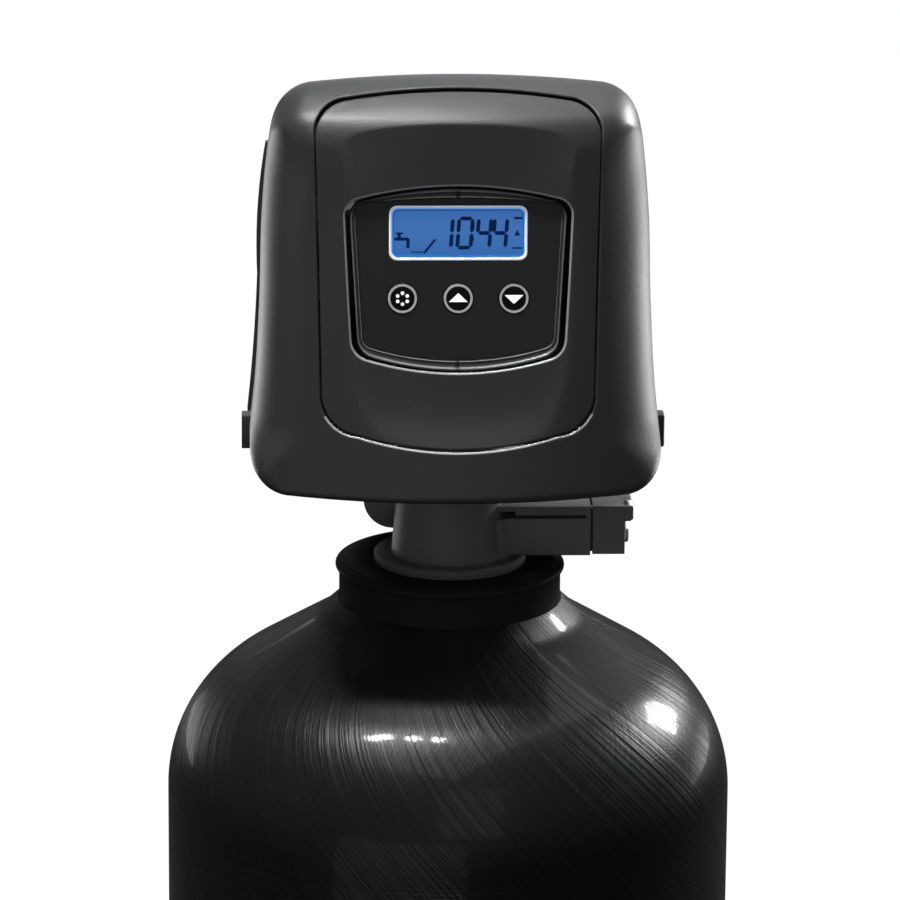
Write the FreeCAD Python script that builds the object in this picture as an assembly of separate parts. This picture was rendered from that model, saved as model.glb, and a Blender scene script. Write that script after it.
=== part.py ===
"""Whole house sediment filter: a wound pressure tank with a backwashing control valve on top.

Millimetres, +Z up. The origin is on the floor under the tank's axis and the front of the
valve's cover faces -Y. Heights called "up" are measured from the top of the tank's neck.
The cover's face leans back, so its details are drawn in a face frame: across, along the
face from the cover's bottom edge, and out of the face.
"""
import FreeCAD
import Part
import math
import os

V = FreeCAD.Vector
X_AXIS, Y_AXIS, Z_AXIS = V(1, 0, 0), V(0, 1, 0), V(0, 0, 1)

# Tank
tank_radius = 128.5
tank_top = 1384.0
tank_floor = 10.0
shell_wall = 3.2
liner_wall = 3.0
skin_gap = 0.2
dome_slope = 35.9
knuckle_radius = 67.5
collar_radius = 50.7
collar_height = 15.8
neck_disc_radius = 52.0
neck_disc_thickness = 4.3
neck_depth = 34.0
thread_radius = 31.0
thread_length = 26.0
thread_clearance = 0.25

# Tank base
base_radius = 135.0
base_height = 108.0
base_wall = 3.5
base_foot_height = 14.0
base_floor = 4.0

# Tank filling
riser_radius = 13.35
riser_bore = 10.4
riser_foot = 30.0
gravel_top = 165.0
media_top = 930.0
basket_radius = 30.0
basket_height = 92.0
basket_wall = 3.0
basket_slot = 1.4
basket_rows = 9
upper_basket_radius = 26.5
upper_basket_height = 62.0
upper_collar_radius = 24.8
upper_collar_height = 11.0

# Valve body
flange_radius = 34.5
flange_height = 4.0
neck_foot_radius = 26.6
column_radius = 23.8
column_start = 45.0
column_top = 126.0
head_flange = 27.0
head_flange_height = 8.0
neck_bore = 21.0
neck_bore_top = 8.0
socket_radius = 16.2
socket_seat = 12.0
passage_radius = 10.0
cylinder_bore = 17.0
cylinder_floor = 30.0
port_pitch = 50.8
port_radius = 13.6
port_height = 24.0
port_start = 13.0
port_end = 62.0
port_bore = 11.0
drain_height = 40.5
drain_offset = 6.0
drain_radius = 10.5
drain_bore = 7.0
drain_face = 46.0

# Injector block
injector_left = 16.0
injector_right = 63.0
injector_half_depth = 14.0
injector_bottom = 5.0
injector_top = 22.6
injector_rail_top = 28.3
injector_slot = 1.6
injector_slot_depth = 12.0
injector_bore = 7.0
injector_axis_height = 13.5
cap_right = 78.6
cap_lip_right = 82.3
cap_lip_height = 6.5
gasket_thickness = 1.0

# Piston and seals
seal_thickness = 3.2
spacer_height = 15.6
seal_count = 5
seal_clearance = 0.1
piston_radius = 14.3
piston_clearance = 0.06
piston_waist = 10.5
piston_length = 52.0
piston_bore = 6.0
piston_stroke = 24.0
rod_radius = 3.0
rod_clearance = 0.08
end_plug_flange = 20.0
end_plug_flange_height = 3.0

# Drive
plate_front = -30.0
plate_thickness = 3.0
plate_half_width = 74.0
plate_bottom = 62.0
plate_top = 208.0
gear_up = 170.0
gear_module = 1.2
gear_teeth = 58
pinion_teeth = 18
gear_width = 6.0
gear_gap = 0.6
gear_backlash = 0.14
pressure_angle = 20.0
gear_bore = 5.0
axle_clearance = 0.08
pinion_direction = 200.0
crank_radius = piston_stroke / 2
crank_pin_radius = 3.0
crank_pin_reach = 17.4
yoke_height = 21.0
yoke_half_width = 20.5
yoke_thickness = 6.0
yoke_clearance = 2.65
cam_outer = 31.0
cam_inner = 24.0
cam_thickness = 3.0
gearbox_half = 22.0
gearbox_depth = 12.0
motor_radius = 19.0
motor_depth = 12.0

# Cover
cover_bottom = 53.0
cover_half_width = 90.8
cover_foot_half_width = 88.2
cover_foot_up = 98.0
cover_waist_half_width = 86.3
cover_waist_up = 132.0
cover_upper_half_width = 85.3
cover_upper_up = 172.0
cover_shoulder_half_width = 81.0
cover_shoulder_up = 211.0
cover_low_corner = 17.0
cover_high_corner = 14.0
cover_crown_up = 230.8
cover_edge_up = 227.2
cover_edge_half_width = 67.0
cover_back = 4.0
cover_face_front = -95.0
cover_brow_up = 217.6
cover_crest_back = -28.0
cover_rear_fall = 10.4
cover_rear_narrowing = 2.0
roof_arch_radius = 600.0
roof_sweep = 110.0
cover_wall = 3.0
face_lean = 9.0
face_bow_radius = 205.0
shoulder_radius = 24.0
shoulder_skin = 1.6
brow_reach = 5.0
seam_gap = 0.5

# Front panel in the face frame
panel_half_low = 59.6
panel_half_high = 62.2
panel_low_side = 46.0
panel_high_side = 163.0
panel_low_centre = 22.0
panel_high_centre = 180.2
panel_low_corner = (44.0, 29.0)
panel_high_corner = (48.5, 176.2)
panel_depth = 50.0
scoop_depth = 6.0
scoop_half_low = 46.0
scoop_half_high = 52.5
scoop_low = 42.0
scoop_high = 178.0
scoop_rise = 5.5
scoop_spread = 5.0
scoop_corner = 12.0

# Display module in the face frame
module_top_half = 46.7
module_bottom_half = 43.0
module_top_side = 131.0
module_top_centre = 137.9
module_bottom_side = 67.0
module_bottom_centre = 59.1
module_corner = 6.0
module_front = -7.5
module_back = -19.5
module_wall = 2.0
module_clearance = 2.4
opening_margin_top = 1.0
opening_margin_low = 3.4
opening_flare = 2.4
rim_side = 5.4
rim_depth = 1.3
overlay_thickness = 1.2
lcd_width = 61.0
lcd_height = 25.1
lcd_centre = 118.4
lcd_frame_width = 1.6
lcd_corner = 3.5
lcd_thickness = 1.2
button_pitch = 24.3
button_along = 89.9
button_radius = 6.8
button_clearance = 0.15
button_travel = 0.6
button_proud = 0.25
board_depth = 15.7
board_thickness = 1.6
post_radius = 3.5

# Latches on the cover's sides
latch_back = -18.0
latch_up = 66.0
latch_height = 15.0
latch_width = 9.0
latch_proud = 4.2
latch_clearance = 0.4

# Rear cover
ear_overhang = 3.0
ear_bottom = 68.0
ear_top = 193.0
ear_thickness = 3.0
rear_depth = 36.0
rear_wall = 2.5
rear_inset = 5.0
rear_slope = 18.0
rear_lip_inset = 2.0
rear_gap = 0.3

# Drain outlet
drain_thread_radius = 13.2
drain_thread_length = 18.0
drain_elbow_centre = 64.0
drain_outlet_end = 48.0

# Bypass valve
bypass_axis_back = 98.0
bypass_tube_radius = 13.6
bypass_bore = 9.0
bypass_end = 132.0
barrel_radius = 18.0
barrel_left = 41.0
barrel_right = 53.0
rotor_radius = 14.0
rotor_clearance = 0.08
knob_radius = 19.0
knob_width = 14.0
adapter_thread_radius = 16.6
adapter_thread_length = 17.0
adapter_hex = 20.5
adapter_hex_length = 9.0

# Small screws
screw_radius = 2.4
screw_head_radius = 4.4
screw_head_height = 3.0
clip_thickness = 2.0


# Shape helpers
def cylinder(radius, length, start, direction=Z_AXIS):
    """A round bar from a start point along a direction."""
    return Part.makeCylinder(radius, length, V(*start), direction)


def ring(outer, inner, length, start, direction=Z_AXIS):
    """A round tube."""
    return cylinder(outer, length, start, direction).cut(cylinder(inner, length, start, direction))


def block(x0, x1, y0, y1, z0, z1):
    """A box between two corners."""
    return Part.makeBox(x1 - x0, y1 - y0, z1 - z0, V(x0, y0, z0))


def outline(start, *steps):
    """A closed wire through points; a step that holds two points is an arc through both."""
    edges, here = [], V(*start)
    for step in steps:
        if isinstance(step[0], tuple):
            middle, end = V(*step[0]), V(*step[1])
            edges.append(Part.Arc(here, middle, end).toShape())
        else:
            end = V(*step)
            edges.append(Part.LineSegment(here, end).toShape())
        here = end
    if (here - V(*start)).Length > 1e-6:
        edges.append(Part.LineSegment(here, V(*start)).toShape())
    return Part.Wire(edges)


def revolved(wire):
    """A full turn of a profile drawn in the XZ plane about the Z axis."""
    return Part.Face(wire).revolve(V(0, 0, 0), Z_AXIS, 360)


def lathe(*points):
    """A turned piece from (radius, height) corners."""
    return revolved(outline(*[(r, 0, z) for r, z in points]))


def rounded(shape, radius, wanted):
    """Fillets the edges whose midpoint a test accepts."""
    edges = [e for e in shape.Edges if wanted(e.valueAt((e.FirstParameter + e.LastParameter) / 2))]
    return shape.makeFillet(radius, edges) if edges else shape


def joined(first, *others):
    """One solid from several."""
    return first.fuse(list(others)).removeSplitter()


def mirrored(shape):
    """The other hand of a piece, across the YZ plane."""
    return shape.mirror(V(0, 0, 0), X_AXIS)


def hexagon_bar(across, length, start, direction):
    """A hexagonal bar of a given distance across its flats."""
    corner = across / math.sqrt(3)
    points = [V(corner * math.cos(math.radians(60 * k)), corner * math.sin(math.radians(60 * k)), 0)
              for k in range(7)]
    bar = Part.Face(Part.makePolygon(points)).extrude(V(0, 0, length))
    bar.Placement = FreeCAD.Placement(V(*start), FreeCAD.Rotation(Z_AXIS, direction))
    return bar


def screw(start, direction, length):
    """A hexagon-head screw: its head starts at the point and its shank runs the other way."""
    head = hexagon_bar(2 * screw_head_radius, screw_head_height, start, direction)
    shank = cylinder(screw_radius, length, start, direction * -1)
    return joined(head, shank)


def face_frame(shape):
    """Moves a shape drawn in the face frame (across, along, out) to the head's frame."""
    turned = shape.copy()
    frame = FreeCAD.Placement(V(0, cover_face_front, cover_bottom),
                              FreeCAD.Rotation(X_AXIS, 90 - face_lean))
    turned.Placement = frame.multiply(shape.Placement)
    return turned


def extruded(wire, start, length):
    """A flat wire, drawn at height 0, made solid between two heights along Z."""
    solid = Part.Face(wire).extrude(V(0, 0, length))
    solid.translate(V(0, 0, start))
    return solid


# Tank
def dome_points(inset):
    """Radii and heights where a dome skin's arc and cone meet, for a skin inset from the outside."""
    slope = math.radians(dome_slope)
    centre = tank_radius - knuckle_radius
    knuckle = knuckle_radius - inset
    shoulder_drop = collar_height + (centre + knuckle_radius * math.sin(slope)
                                     - collar_radius) * math.tan(slope)
    shoulder_drop += knuckle_radius * math.cos(slope)
    half = (math.pi / 2 - slope) / 2
    return {
        "shoulder": tank_top - shoulder_drop,
        "radius": centre + knuckle,
        "arc_middle": (centre + knuckle * math.cos(half), knuckle * math.sin(half)),
        "arc_end": (centre + knuckle * math.sin(slope), knuckle * math.cos(slope)),
    }


def tank_solid(inset):
    """The tank's outer form, inset all over, with its top cut at the collar's radius."""
    p = dome_points(inset)
    slope = math.radians(dome_slope)
    (mid_r, mid_z), (end_r, end_z) = p["arc_middle"], p["arc_end"]
    top = p["shoulder"]
    collar_z = top + end_z + (end_r - collar_radius) * math.tan(slope)
    crown = (end_r / math.sin(slope))
    crown_rise = crown * (1 - math.cos(slope))
    low = tank_floor + inset + crown_rise + end_z
    crown_mid = (crown * math.sin(slope / 2), crown * (1 - math.cos(slope / 2)))
    wire = outline(
        (0, 0, tank_floor + inset),
        ((crown_mid[0], 0, tank_floor + inset + crown_mid[1]), (end_r, 0, low - end_z)),
        ((mid_r, 0, low - mid_z), (p["radius"], 0, low)),
        (p["radius"], 0, top),
        ((mid_r, 0, top + mid_z), (end_r, 0, top + end_z)),
        (collar_radius, 0, collar_z),
        (0, 0, collar_z),
    )
    return revolved(wire)


def tank_shell():
    """The wound outer shell, open at the neck."""
    hollow = tank_solid(shell_wall)
    opening = cylinder(collar_radius, collar_height * 6, (0, 0, tank_top - collar_height * 5))
    return tank_solid(0).cut(hollow).cut(opening)


def tank_liner():
    """The moulded liner inside the shell."""
    outer = shell_wall + skin_gap
    opening = cylinder(collar_radius, collar_height * 6, (0, 0, tank_top - collar_height * 5))
    return tank_solid(outer).cut(tank_solid(outer + liner_wall)).cut(opening)


def tank_neck():
    """The threaded neck ring with its wide top flange."""
    bottom = tank_top - neck_depth
    bore = thread_radius + thread_clearance
    seat = flange_radius - 1.0
    return lathe(
        (bore, bottom), (collar_radius, bottom),
        (collar_radius, tank_top - neck_disc_thickness - 1.5),
        (neck_disc_radius - 0.6, tank_top - neck_disc_thickness),
        (neck_disc_radius, tank_top - neck_disc_thickness + 0.6),
        (neck_disc_radius, tank_top - 0.8), (neck_disc_radius - 0.8, tank_top),
        (seat, tank_top), (seat, tank_top - 3.0), (bore, tank_top - 3.0))


def tank_base():
    """The moulded foot: a flared skirt with a floor and a ring that carries the bottom dome."""
    inner = tank_radius + skin_gap
    skirt_top = inner + base_wall
    skirt = lathe(
        (base_radius, 0), (base_radius, base_foot_height), (skirt_top, base_foot_height + 22),
        (skirt_top, base_height), (inner, base_height), (inner, base_foot_height + 20),
        (base_radius - base_wall, base_foot_height), (base_radius - base_wall, base_floor),
        (0, base_floor), (0, 0))
    seat = tank_solid(-skin_gap)
    cradle = ring(98, 92, 60, (0, 0, base_floor)).cut(seat)
    ribs = [block(40, 98, -2, 2, base_floor, 60).cut(seat) for _ in range(8)]
    for k, rib in enumerate(ribs):
        rib.rotate(V(0, 0, 0), Z_AXIS, 45 * k)
    return joined(skirt, cradle, *ribs)


def slotted_basket(radius, height, bottom, hub):
    """A round strainer basket with rows of slots between four ribs, around a central hub hole."""
    body = cylinder(radius, height, (0, 0, bottom))
    hollow = cylinder(radius - basket_wall, height - 2 * basket_wall, (0, 0, bottom + basket_wall))
    basket = body.cut(hollow).cut(cylinder(hub, height, (0, 0, bottom + basket_wall)))
    pitch = (height - 6 * basket_wall) / (basket_rows - 1)
    rib = basket_wall
    cutters = []
    for row in range(basket_rows):
        level = bottom + 3 * basket_wall + row * pitch - basket_slot / 2
        slot = ring(radius + 1, radius - basket_wall - 1, basket_slot, (0, 0, level))
        slot = slot.cut(block(-radius - 2, radius + 2, -rib / 2, rib / 2, level - 1, level + 3))
        slot = slot.cut(block(-rib / 2, rib / 2, -radius - 2, radius + 2, level - 1, level + 3))
        cutters.append(slot)
    return basket.cut(Part.makeCompound(cutters))


def basket_bottom():
    """Height of the lower basket's underside, just clear of the liner's crown."""
    return tank_floor + shell_wall + skin_gap + liner_wall + 3.2


def riser_tube():
    """The tube from the lower basket up into the valve."""
    foot = basket_bottom() + basket_height - riser_foot
    return ring(riser_radius, riser_bore, tank_top + socket_seat - 0.5 - foot, (0, 0, foot))


def bottom_distributor():
    """The lower strainer basket on the riser's foot."""
    return slotted_basket(basket_radius, basket_height, basket_bottom(), riser_radius + 0.05)


def top_distributor():
    """The upper strainer basket under the valve, with the collar that plugs into its neck."""
    bottom = tank_top - thread_length - upper_basket_height
    hub = riser_radius + 0.3
    basket = slotted_basket(upper_basket_radius, upper_basket_height, bottom, hub)
    basket = basket.cut(cylinder(hub, upper_basket_height, (0, 0, bottom)))
    collar_start = tank_top - thread_length
    collar = ring(upper_collar_radius, neck_bore, upper_collar_height, (0, 0, collar_start))
    windows = ring(neck_bore, hub + 3.0, basket_wall * 2, (0, 0, collar_start - basket_wall * 1.5))
    spokes = block(-40, 40, -2.5, 2.5, bottom, tank_top)
    return joined(basket.cut(windows.cut(spokes)), collar)


def bed(low, high):
    """Loose filling between two heights, clear of the liner, the riser and the lower basket."""
    inside = tank_solid(shell_wall + skin_gap + liner_wall + 0.3)
    slab = inside.common(cylinder(tank_radius, high - low, (0, 0, low)))
    slab = slab.cut(cylinder(riser_radius + 0.3, tank_top, (0, 0, 0)))
    basket = cylinder(basket_radius + 0.3, basket_height + 0.6, (0, 0, basket_bottom() - 0.3))
    return slab.cut(basket).cut(cylinder(basket_radius + 0.3, basket_bottom(), (0, 0, 0)))


# Valve body, with heights from the tank's top
def port_sides():
    """Across positions of the two rear ports."""
    return (-port_pitch / 2, port_pitch / 2)


def injector_block():
    """The rectangular arm on the right, with its top rail and the slot under the rail."""
    arm = block(injector_left, injector_right, -injector_half_depth, injector_half_depth,
                injector_bottom, injector_rail_top)
    slot = block(injector_left + 5, injector_right - 2, -injector_half_depth - 1,
                 injector_slot_depth - injector_half_depth, injector_top,
                 injector_top + injector_slot)
    wedge = block(injector_left, injector_left + 13, -injector_half_depth - 1,
                  injector_slot_depth - injector_half_depth, injector_top, injector_top + 3.4)
    arm = rounded(arm, 1.2, lambda p: p.y < -injector_half_depth + 0.1 and p.z < injector_bottom + 1)
    return arm.cut(slot).cut(wedge)


def valve_body():
    """The moulded body: threaded neck, piston cylinder, rear ports, injector arm and drain boss."""
    thread = cylinder(thread_radius, thread_length, (0, 0, -thread_length))
    flange = lathe((0, 0), (flange_radius, 0), (flange_radius, flange_height - 1.0),
                   (flange_radius - 1.0, flange_height), (0, flange_height))
    neck = Part.makeCone(neck_foot_radius, column_radius, column_start - flange_height,
                         V(0, 0, flange_height))
    column = cylinder(column_radius, column_top - column_start, (0, 0, column_start))
    head = block(-head_flange, head_flange, -head_flange, head_flange,
                 column_top - head_flange_height, column_top)
    head = rounded(head, 6.0, lambda p: abs(abs(p.x) - head_flange) < 0.1
                   and abs(abs(p.y) - head_flange) < 0.1)
    ports = [cylinder(port_radius, port_end - port_start, (x, port_start, port_height), Y_AXIS)
             for x in port_sides()]
    bridge = block(-port_pitch / 2, port_pitch / 2, 8, port_end - 6, port_height - 5,
                   port_height + 5)
    pilaster = cylinder(5.0, injector_top - flange_height, (21.5, -10.5, flange_height))
    drain = cylinder(drain_radius, drain_face - 10, (-10, drain_offset, drain_height), X_AXIS * -1)
    body = joined(thread, flange, neck, column, head, *ports, bridge, pilaster, drain,
                  injector_block())
    bores = [
        cylinder(cylinder_bore, column_top, (0, 0, cylinder_floor)),
        cylinder(passage_radius, cylinder_floor + 1, (0, 0, 0)),
        ring(neck_bore, socket_radius, thread_length + neck_bore_top, (0, 0, -thread_length)),
        cylinder(upper_collar_radius + 0.15, upper_collar_height + 0.5, (0, 0, -thread_length))
        .cut(cylinder(socket_radius, thread_length, (0, 0, -thread_length))),
        cylinder(riser_radius + 0.1, thread_length + socket_seat, (0, 0, -thread_length)),
        cylinder(injector_bore, injector_right, (neck_bore - 1, 0, injector_axis_height), X_AXIS),
        cylinder(drain_bore, drain_face, (-cylinder_bore + 2, drain_offset, drain_height),
                 X_AXIS * -1),
    ]
    for x in port_sides():
        bores.append(cylinder(port_bore, port_end, (x, port_start + 2.6, port_height), Y_AXIS))
        bores.append(cylinder(5.0, abs(x) - 2, (math.copysign(2, x), port_start + 9, cylinder_floor - 3),
                              V(math.copysign(1, x), 0, 0)))
        bores.append(cylinder(3.5, port_start + 9, (math.copysign(4, x), 0, cylinder_floor + 4), Y_AXIS))
    for turn in (60, 120):
        a = math.radians(turn)
        bores.append(cylinder(2.2, column_start, (20.2 * math.cos(a), -20.2 * math.sin(a), 4)))
    return body.cut(Part.makeCompound(bores))


def seal_levels():
    """Heights of the undersides of the seals in the cylinder."""
    pitch = seal_thickness + spacer_height
    return [cylinder_floor + k * pitch for k in range(seal_count)]


def stack_top():
    """Height of the top of the seal stack."""
    return seal_levels()[-1] + seal_thickness


def piston_seals():
    """The rubber rings that the piston slides in, one solid each."""
    outer, inner = cylinder_bore - seal_clearance, piston_radius + piston_clearance
    return Part.makeCompound([ring(outer, inner, seal_thickness, (0, 0, z)) for z in seal_levels()])


def seal_spacers():
    """The windowed cages between the seals, one solid each."""
    cages = []
    for z in seal_levels()[:-1]:
        cage = ring(cylinder_bore - seal_clearance, piston_radius + 0.9, spacer_height,
                    (0, 0, z + seal_thickness))
        middle = z + seal_thickness + spacer_height / 2
        for turn in range(0, 180, 45):
            a = math.radians(turn + 22.5)
            across = V(math.cos(a), math.sin(a), 0)
            start = (-30 * across.x, -30 * across.y, middle)
            cage = cage.cut(cylinder(4.2, 60, start, across))
        cages.append(cage)
    return Part.makeCompound(cages)


def piston_bottom():
    """Height of the piston's lower end at rest."""
    return cylinder_floor + 2.0


def piston():
    """The spool that opens and closes the ways through the stack."""
    low = piston_bottom()
    land = 10.0
    waist = (piston_length - 3 * land) / 2
    r, w = piston_radius, piston_waist
    spool = lathe((0, low), (r, low), (r, low + land), (w, low + land + 2),
                  (w, low + land + waist - 2), (r, low + land + waist),
                  (r, low + 2 * land + waist), (w, low + 2 * land + waist + 2),
                  (w, low + 2 * land + 2 * waist - 2), (r, low + 2 * land + 2 * waist),
                  (r, low + piston_length), (0, low + piston_length))
    spool = spool.cut(cylinder(piston_bore, piston_length - 14, (0, 0, low)))
    return spool.cut(cylinder(rod_radius, 12, (0, 0, low + piston_length - 10)))


def yoke_bottom():
    """Height of the yoke's underside at rest."""
    return gear_up - crank_radius - yoke_height / 2


def piston_rod():
    """The steel rod between the piston and the yoke."""
    foot = piston_bottom() + piston_length - 10
    return cylinder(rod_radius, yoke_bottom() + 6 - foot, (0, 0, foot))


def end_plug():
    """The plug that closes the cylinder and guides the rod."""
    low = stack_top() + 0.2
    plug = lathe((rod_radius + rod_clearance, low), (cylinder_bore - seal_clearance, low),
                 (cylinder_bore - seal_clearance, column_top + 0.02),
                 (end_plug_flange, column_top + 0.02),
                 (end_plug_flange, column_top + end_plug_flange_height),
                 (rod_radius + rod_clearance, column_top + end_plug_flange_height))
    ears = block(-end_plug_flange - 5, end_plug_flange + 5, -6, 6, column_top + 0.02,
                 column_top + end_plug_flange_height)
    ears = ears.cut(cylinder(end_plug_flange - 1, 10, (0, 0, column_top - 3)))
    plug = joined(plug, ears)
    for x in (-end_plug_flange - 1, end_plug_flange + 1):
        plug = plug.cut(cylinder(screw_radius + 0.1, 20, (x, 0, column_top - 5)))
    return plug


def injector_gasket():
    """The flat seal behind the injector cap."""
    sheet = block(injector_right, injector_right + gasket_thickness, -injector_half_depth + 1,
                  injector_half_depth - 1, injector_bottom + 2, injector_rail_top - 2)
    hole = cylinder(injector_bore, 4, (injector_right - 1, 0, injector_axis_height), X_AXIS)
    return sheet.cut(hole).cut(injector_screw_holes())


def injector_screw_places():
    """Depth and height of the two screws through the injector cap."""
    return ((-injector_half_depth + 5.5, injector_rail_top - 3.6),
            (injector_half_depth - 4.5, injector_bottom + 4.4))


def injector_screw_holes():
    """Clearance holes for the cap screws."""
    return Part.makeCompound([
        cylinder(screw_radius + 0.1, 30, (injector_right - 8, y, z), X_AXIS)
        for y, z in injector_screw_places()])


def injector_cap():
    """The square cap on the end of the injector arm, with its lip at the top."""
    left = injector_right + gasket_thickness
    body = block(left, cap_right, -injector_half_depth - 0.6, injector_half_depth + 0.6,
                 injector_bottom + 0.8, injector_rail_top)
    lip = block(left, cap_lip_right, -injector_half_depth - 0.6, injector_half_depth + 0.6,
                injector_rail_top - cap_lip_height, injector_rail_top)
    cap = joined(body, lip)
    cap = rounded(cap, 0.9, lambda p: p.y < -injector_half_depth - 0.5 or p.x > cap_lip_right - 0.1)
    pocket = cylinder(injector_bore, 5, (left - 0.1, 0, injector_axis_height), X_AXIS)
    spot = cylinder(screw_head_radius + 0.6, 10,
                    (cap_right, injector_screw_places()[0][0], injector_screw_places()[0][1]), X_AXIS)
    return cap.cut(pocket).cut(injector_screw_holes()).cut(spot)


def injector_plug():
    """The blank that closes the injector bore on a filter without brine."""
    body = cylinder(injector_bore - 0.1, 26, (injector_right - 22, 0, injector_axis_height), X_AXIS)
    groove = ring(injector_bore + 1, injector_bore - 1.8, 2.2,
                  (injector_right - 16, 0, injector_axis_height), X_AXIS)
    return body.cut(groove)


def body_screws():
    """Hexagon-head screws of the end plug, the injector cap and the port clips, one solid each."""
    screws = []
    top = column_top + end_plug_flange_height
    for x in (-end_plug_flange - 1, end_plug_flange + 1):
        screws.append(screw((x, 0, top), Z_AXIS, end_plug_flange_height))
    for y, z in injector_screw_places():
        screws.append(screw((cap_right, y, z), X_AXIS, cap_right - injector_right - 0.2))
    screws.append(screw((0, port_end - 12, port_height + 5 + clip_thickness), Z_AXIS,
                        clip_thickness))
    return Part.makeCompound(screws)


def coupling_clip():
    """The bridge plate that holds both rear couplings in their ports."""
    plate = block(-14, 14, port_end - 20, port_end + 4, port_height + 5, port_height + 5 + clip_thickness)
    plate = plate.cut(cylinder(screw_radius + 0.1, 10, (0, port_end - 12, port_height)))
    for x in port_sides():
        plate = plate.cut(cylinder(port_radius + 0.2, 60, (x, port_end - 40, port_height), Y_AXIS))
        plate = plate.cut(cylinder(bypass_tube_radius + 1.7, 60, (x, port_end, port_height), Y_AXIS))
    return plate


# Drain
def drain_elbow():
    """The elbow from the drain boss to a threaded outlet at the rear."""
    start = drain_face
    centre = (-drain_elbow_centre, drain_offset, drain_height)
    arm = cylinder(drain_radius - 1.5, drain_elbow_centre - start, (-start, drain_offset, drain_height),
                   X_AXIS * -1)
    flange = cylinder(drain_radius, 3, (-start, drain_offset, drain_height), X_AXIS * -1)
    spigot = cylinder(drain_bore - 0.1, 12, (-start + 12, drain_offset, drain_height), X_AXIS * -1)
    knee = Part.makeSphere(drain_radius - 1.5, V(*centre))
    leg = cylinder(drain_radius - 1.5, drain_outlet_end - drain_offset, centre, Y_AXIS)
    nut = hexagon_bar(24, 6, (centre[0], drain_outlet_end - 6, drain_height), Y_AXIS)
    thread = cylinder(drain_thread_radius, drain_thread_length,
                      (centre[0], drain_outlet_end, drain_height), Y_AXIS)
    elbow = joined(arm, flange, spigot, knee, leg, nut, thread)
    bore_x = cylinder(drain_bore - 2.2, 60, (-start + 13, drain_offset, drain_height), X_AXIS * -1)
    bore_x = bore_x.common(block(-drain_elbow_centre, 0, -30, 60, 0, 80))
    bore_y = cylinder(drain_bore - 2.2, 100, centre, Y_AXIS)
    return elbow.cut(bore_x).cut(Part.makeSphere(drain_bore - 2.2, V(*centre))).cut(bore_y)


def drain_flow_washer():
    """The rubber washer that sets the backwash flow, held in the drain boss."""
    return ring(drain_bore - 0.1, 3.0, 4, (-drain_face + 17, drain_offset, drain_height), X_AXIS * -1)


def drain_clip():
    """The sprung clip that holds the elbow's flange on the boss."""
    x = -drain_face
    band = ring(drain_radius + 1.6, drain_radius, 7, (x + 3.5, drain_offset, drain_height), X_AXIS * -1)
    gap = block(x - 6, x + 6, drain_offset - 6, drain_offset + 6, drain_height - 20, drain_height)
    lip = ring(drain_radius + 1.6, drain_radius - 1.4, 1.5, (x - 3.5, drain_offset, drain_height),
               X_AXIS * -1)
    return joined(band, lip).cut(gap)


# Drive
def gear_place():
    """Centre of the drive gear, at the plane of its front face."""
    return V(0, plate_front + plate_thickness + gear_gap, gear_up)


def pinion_offset():
    """Across and height from the drive gear's centre to the pinion's."""
    reach = gear_module * (gear_teeth + pinion_teeth) / 2
    a = math.radians(pinion_direction)
    return reach * math.cos(a), reach * math.sin(a)


def gear_wire(teeth, first_tooth):
    """A spur gear's outline in the XY plane, with involute flanks and a tooth at a given angle."""
    pitch = gear_module * teeth / 2
    base = pitch * math.cos(math.radians(pressure_angle))
    tip, root = pitch + gear_module, pitch - 1.25 * gear_module
    start = max(base, root)

    def involute(radius):
        """The involute's turn from its base circle to a radius."""
        return math.sqrt((radius / base) ** 2 - 1) - math.acos(base / radius)

    def at(radius, angle):
        """A point on a circle about the gear's centre."""
        return V(radius * math.cos(angle), radius * math.sin(angle), 0)

    half = (math.pi * gear_module / 2 - gear_backlash) / (2 * pitch) + involute(pitch)
    foot_half = half - involute(start)
    radii = [start + (tip - start) * k / 4 for k in range(5)]
    step = 2 * math.pi / teeth
    edges = []
    for k in range(teeth):
        c = math.radians(first_tooth) + k * step
        rise = [at(r, c - half + involute(r)) for r in radii]
        fall = [at(r, c + half - involute(r)) for r in reversed(radii)]
        for flank in (rise, fall):
            curve = Part.BSplineCurve()
            curve.interpolate(flank)
            edges.append(curve.toShape())
        edges.append(Part.Arc(rise[-1], at(tip, c), fall[0]).toShape())
        foot, next_foot = at(root, c + foot_half), at(root, c + step - foot_half)
        if start > root:
            edges.append(Part.LineSegment(fall[-1], foot).toShape())
            edges.append(Part.LineSegment(next_foot, at(start, c + step - foot_half)).toShape())
        edges.append(Part.Arc(foot, at(root, c + step / 2), next_foot).toShape())
    return Part.Wire(Part.__sortEdges__(edges))


def upright_gear(teeth, first_tooth, bore, centre):
    """A gear standing in the XZ plane, its front face at the given point, its width towards +Y."""
    gear = Part.Face(gear_wire(teeth, first_tooth)).extrude(V(0, 0, gear_width))
    gear = gear.cut(cylinder(bore, gear_width, (0, 0, 0)))
    gear.translate(V(0, 0, -gear_width))
    gear.Placement = FreeCAD.Placement(centre, FreeCAD.Rotation(X_AXIS, 90)).multiply(gear.Placement)
    return gear


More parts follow.
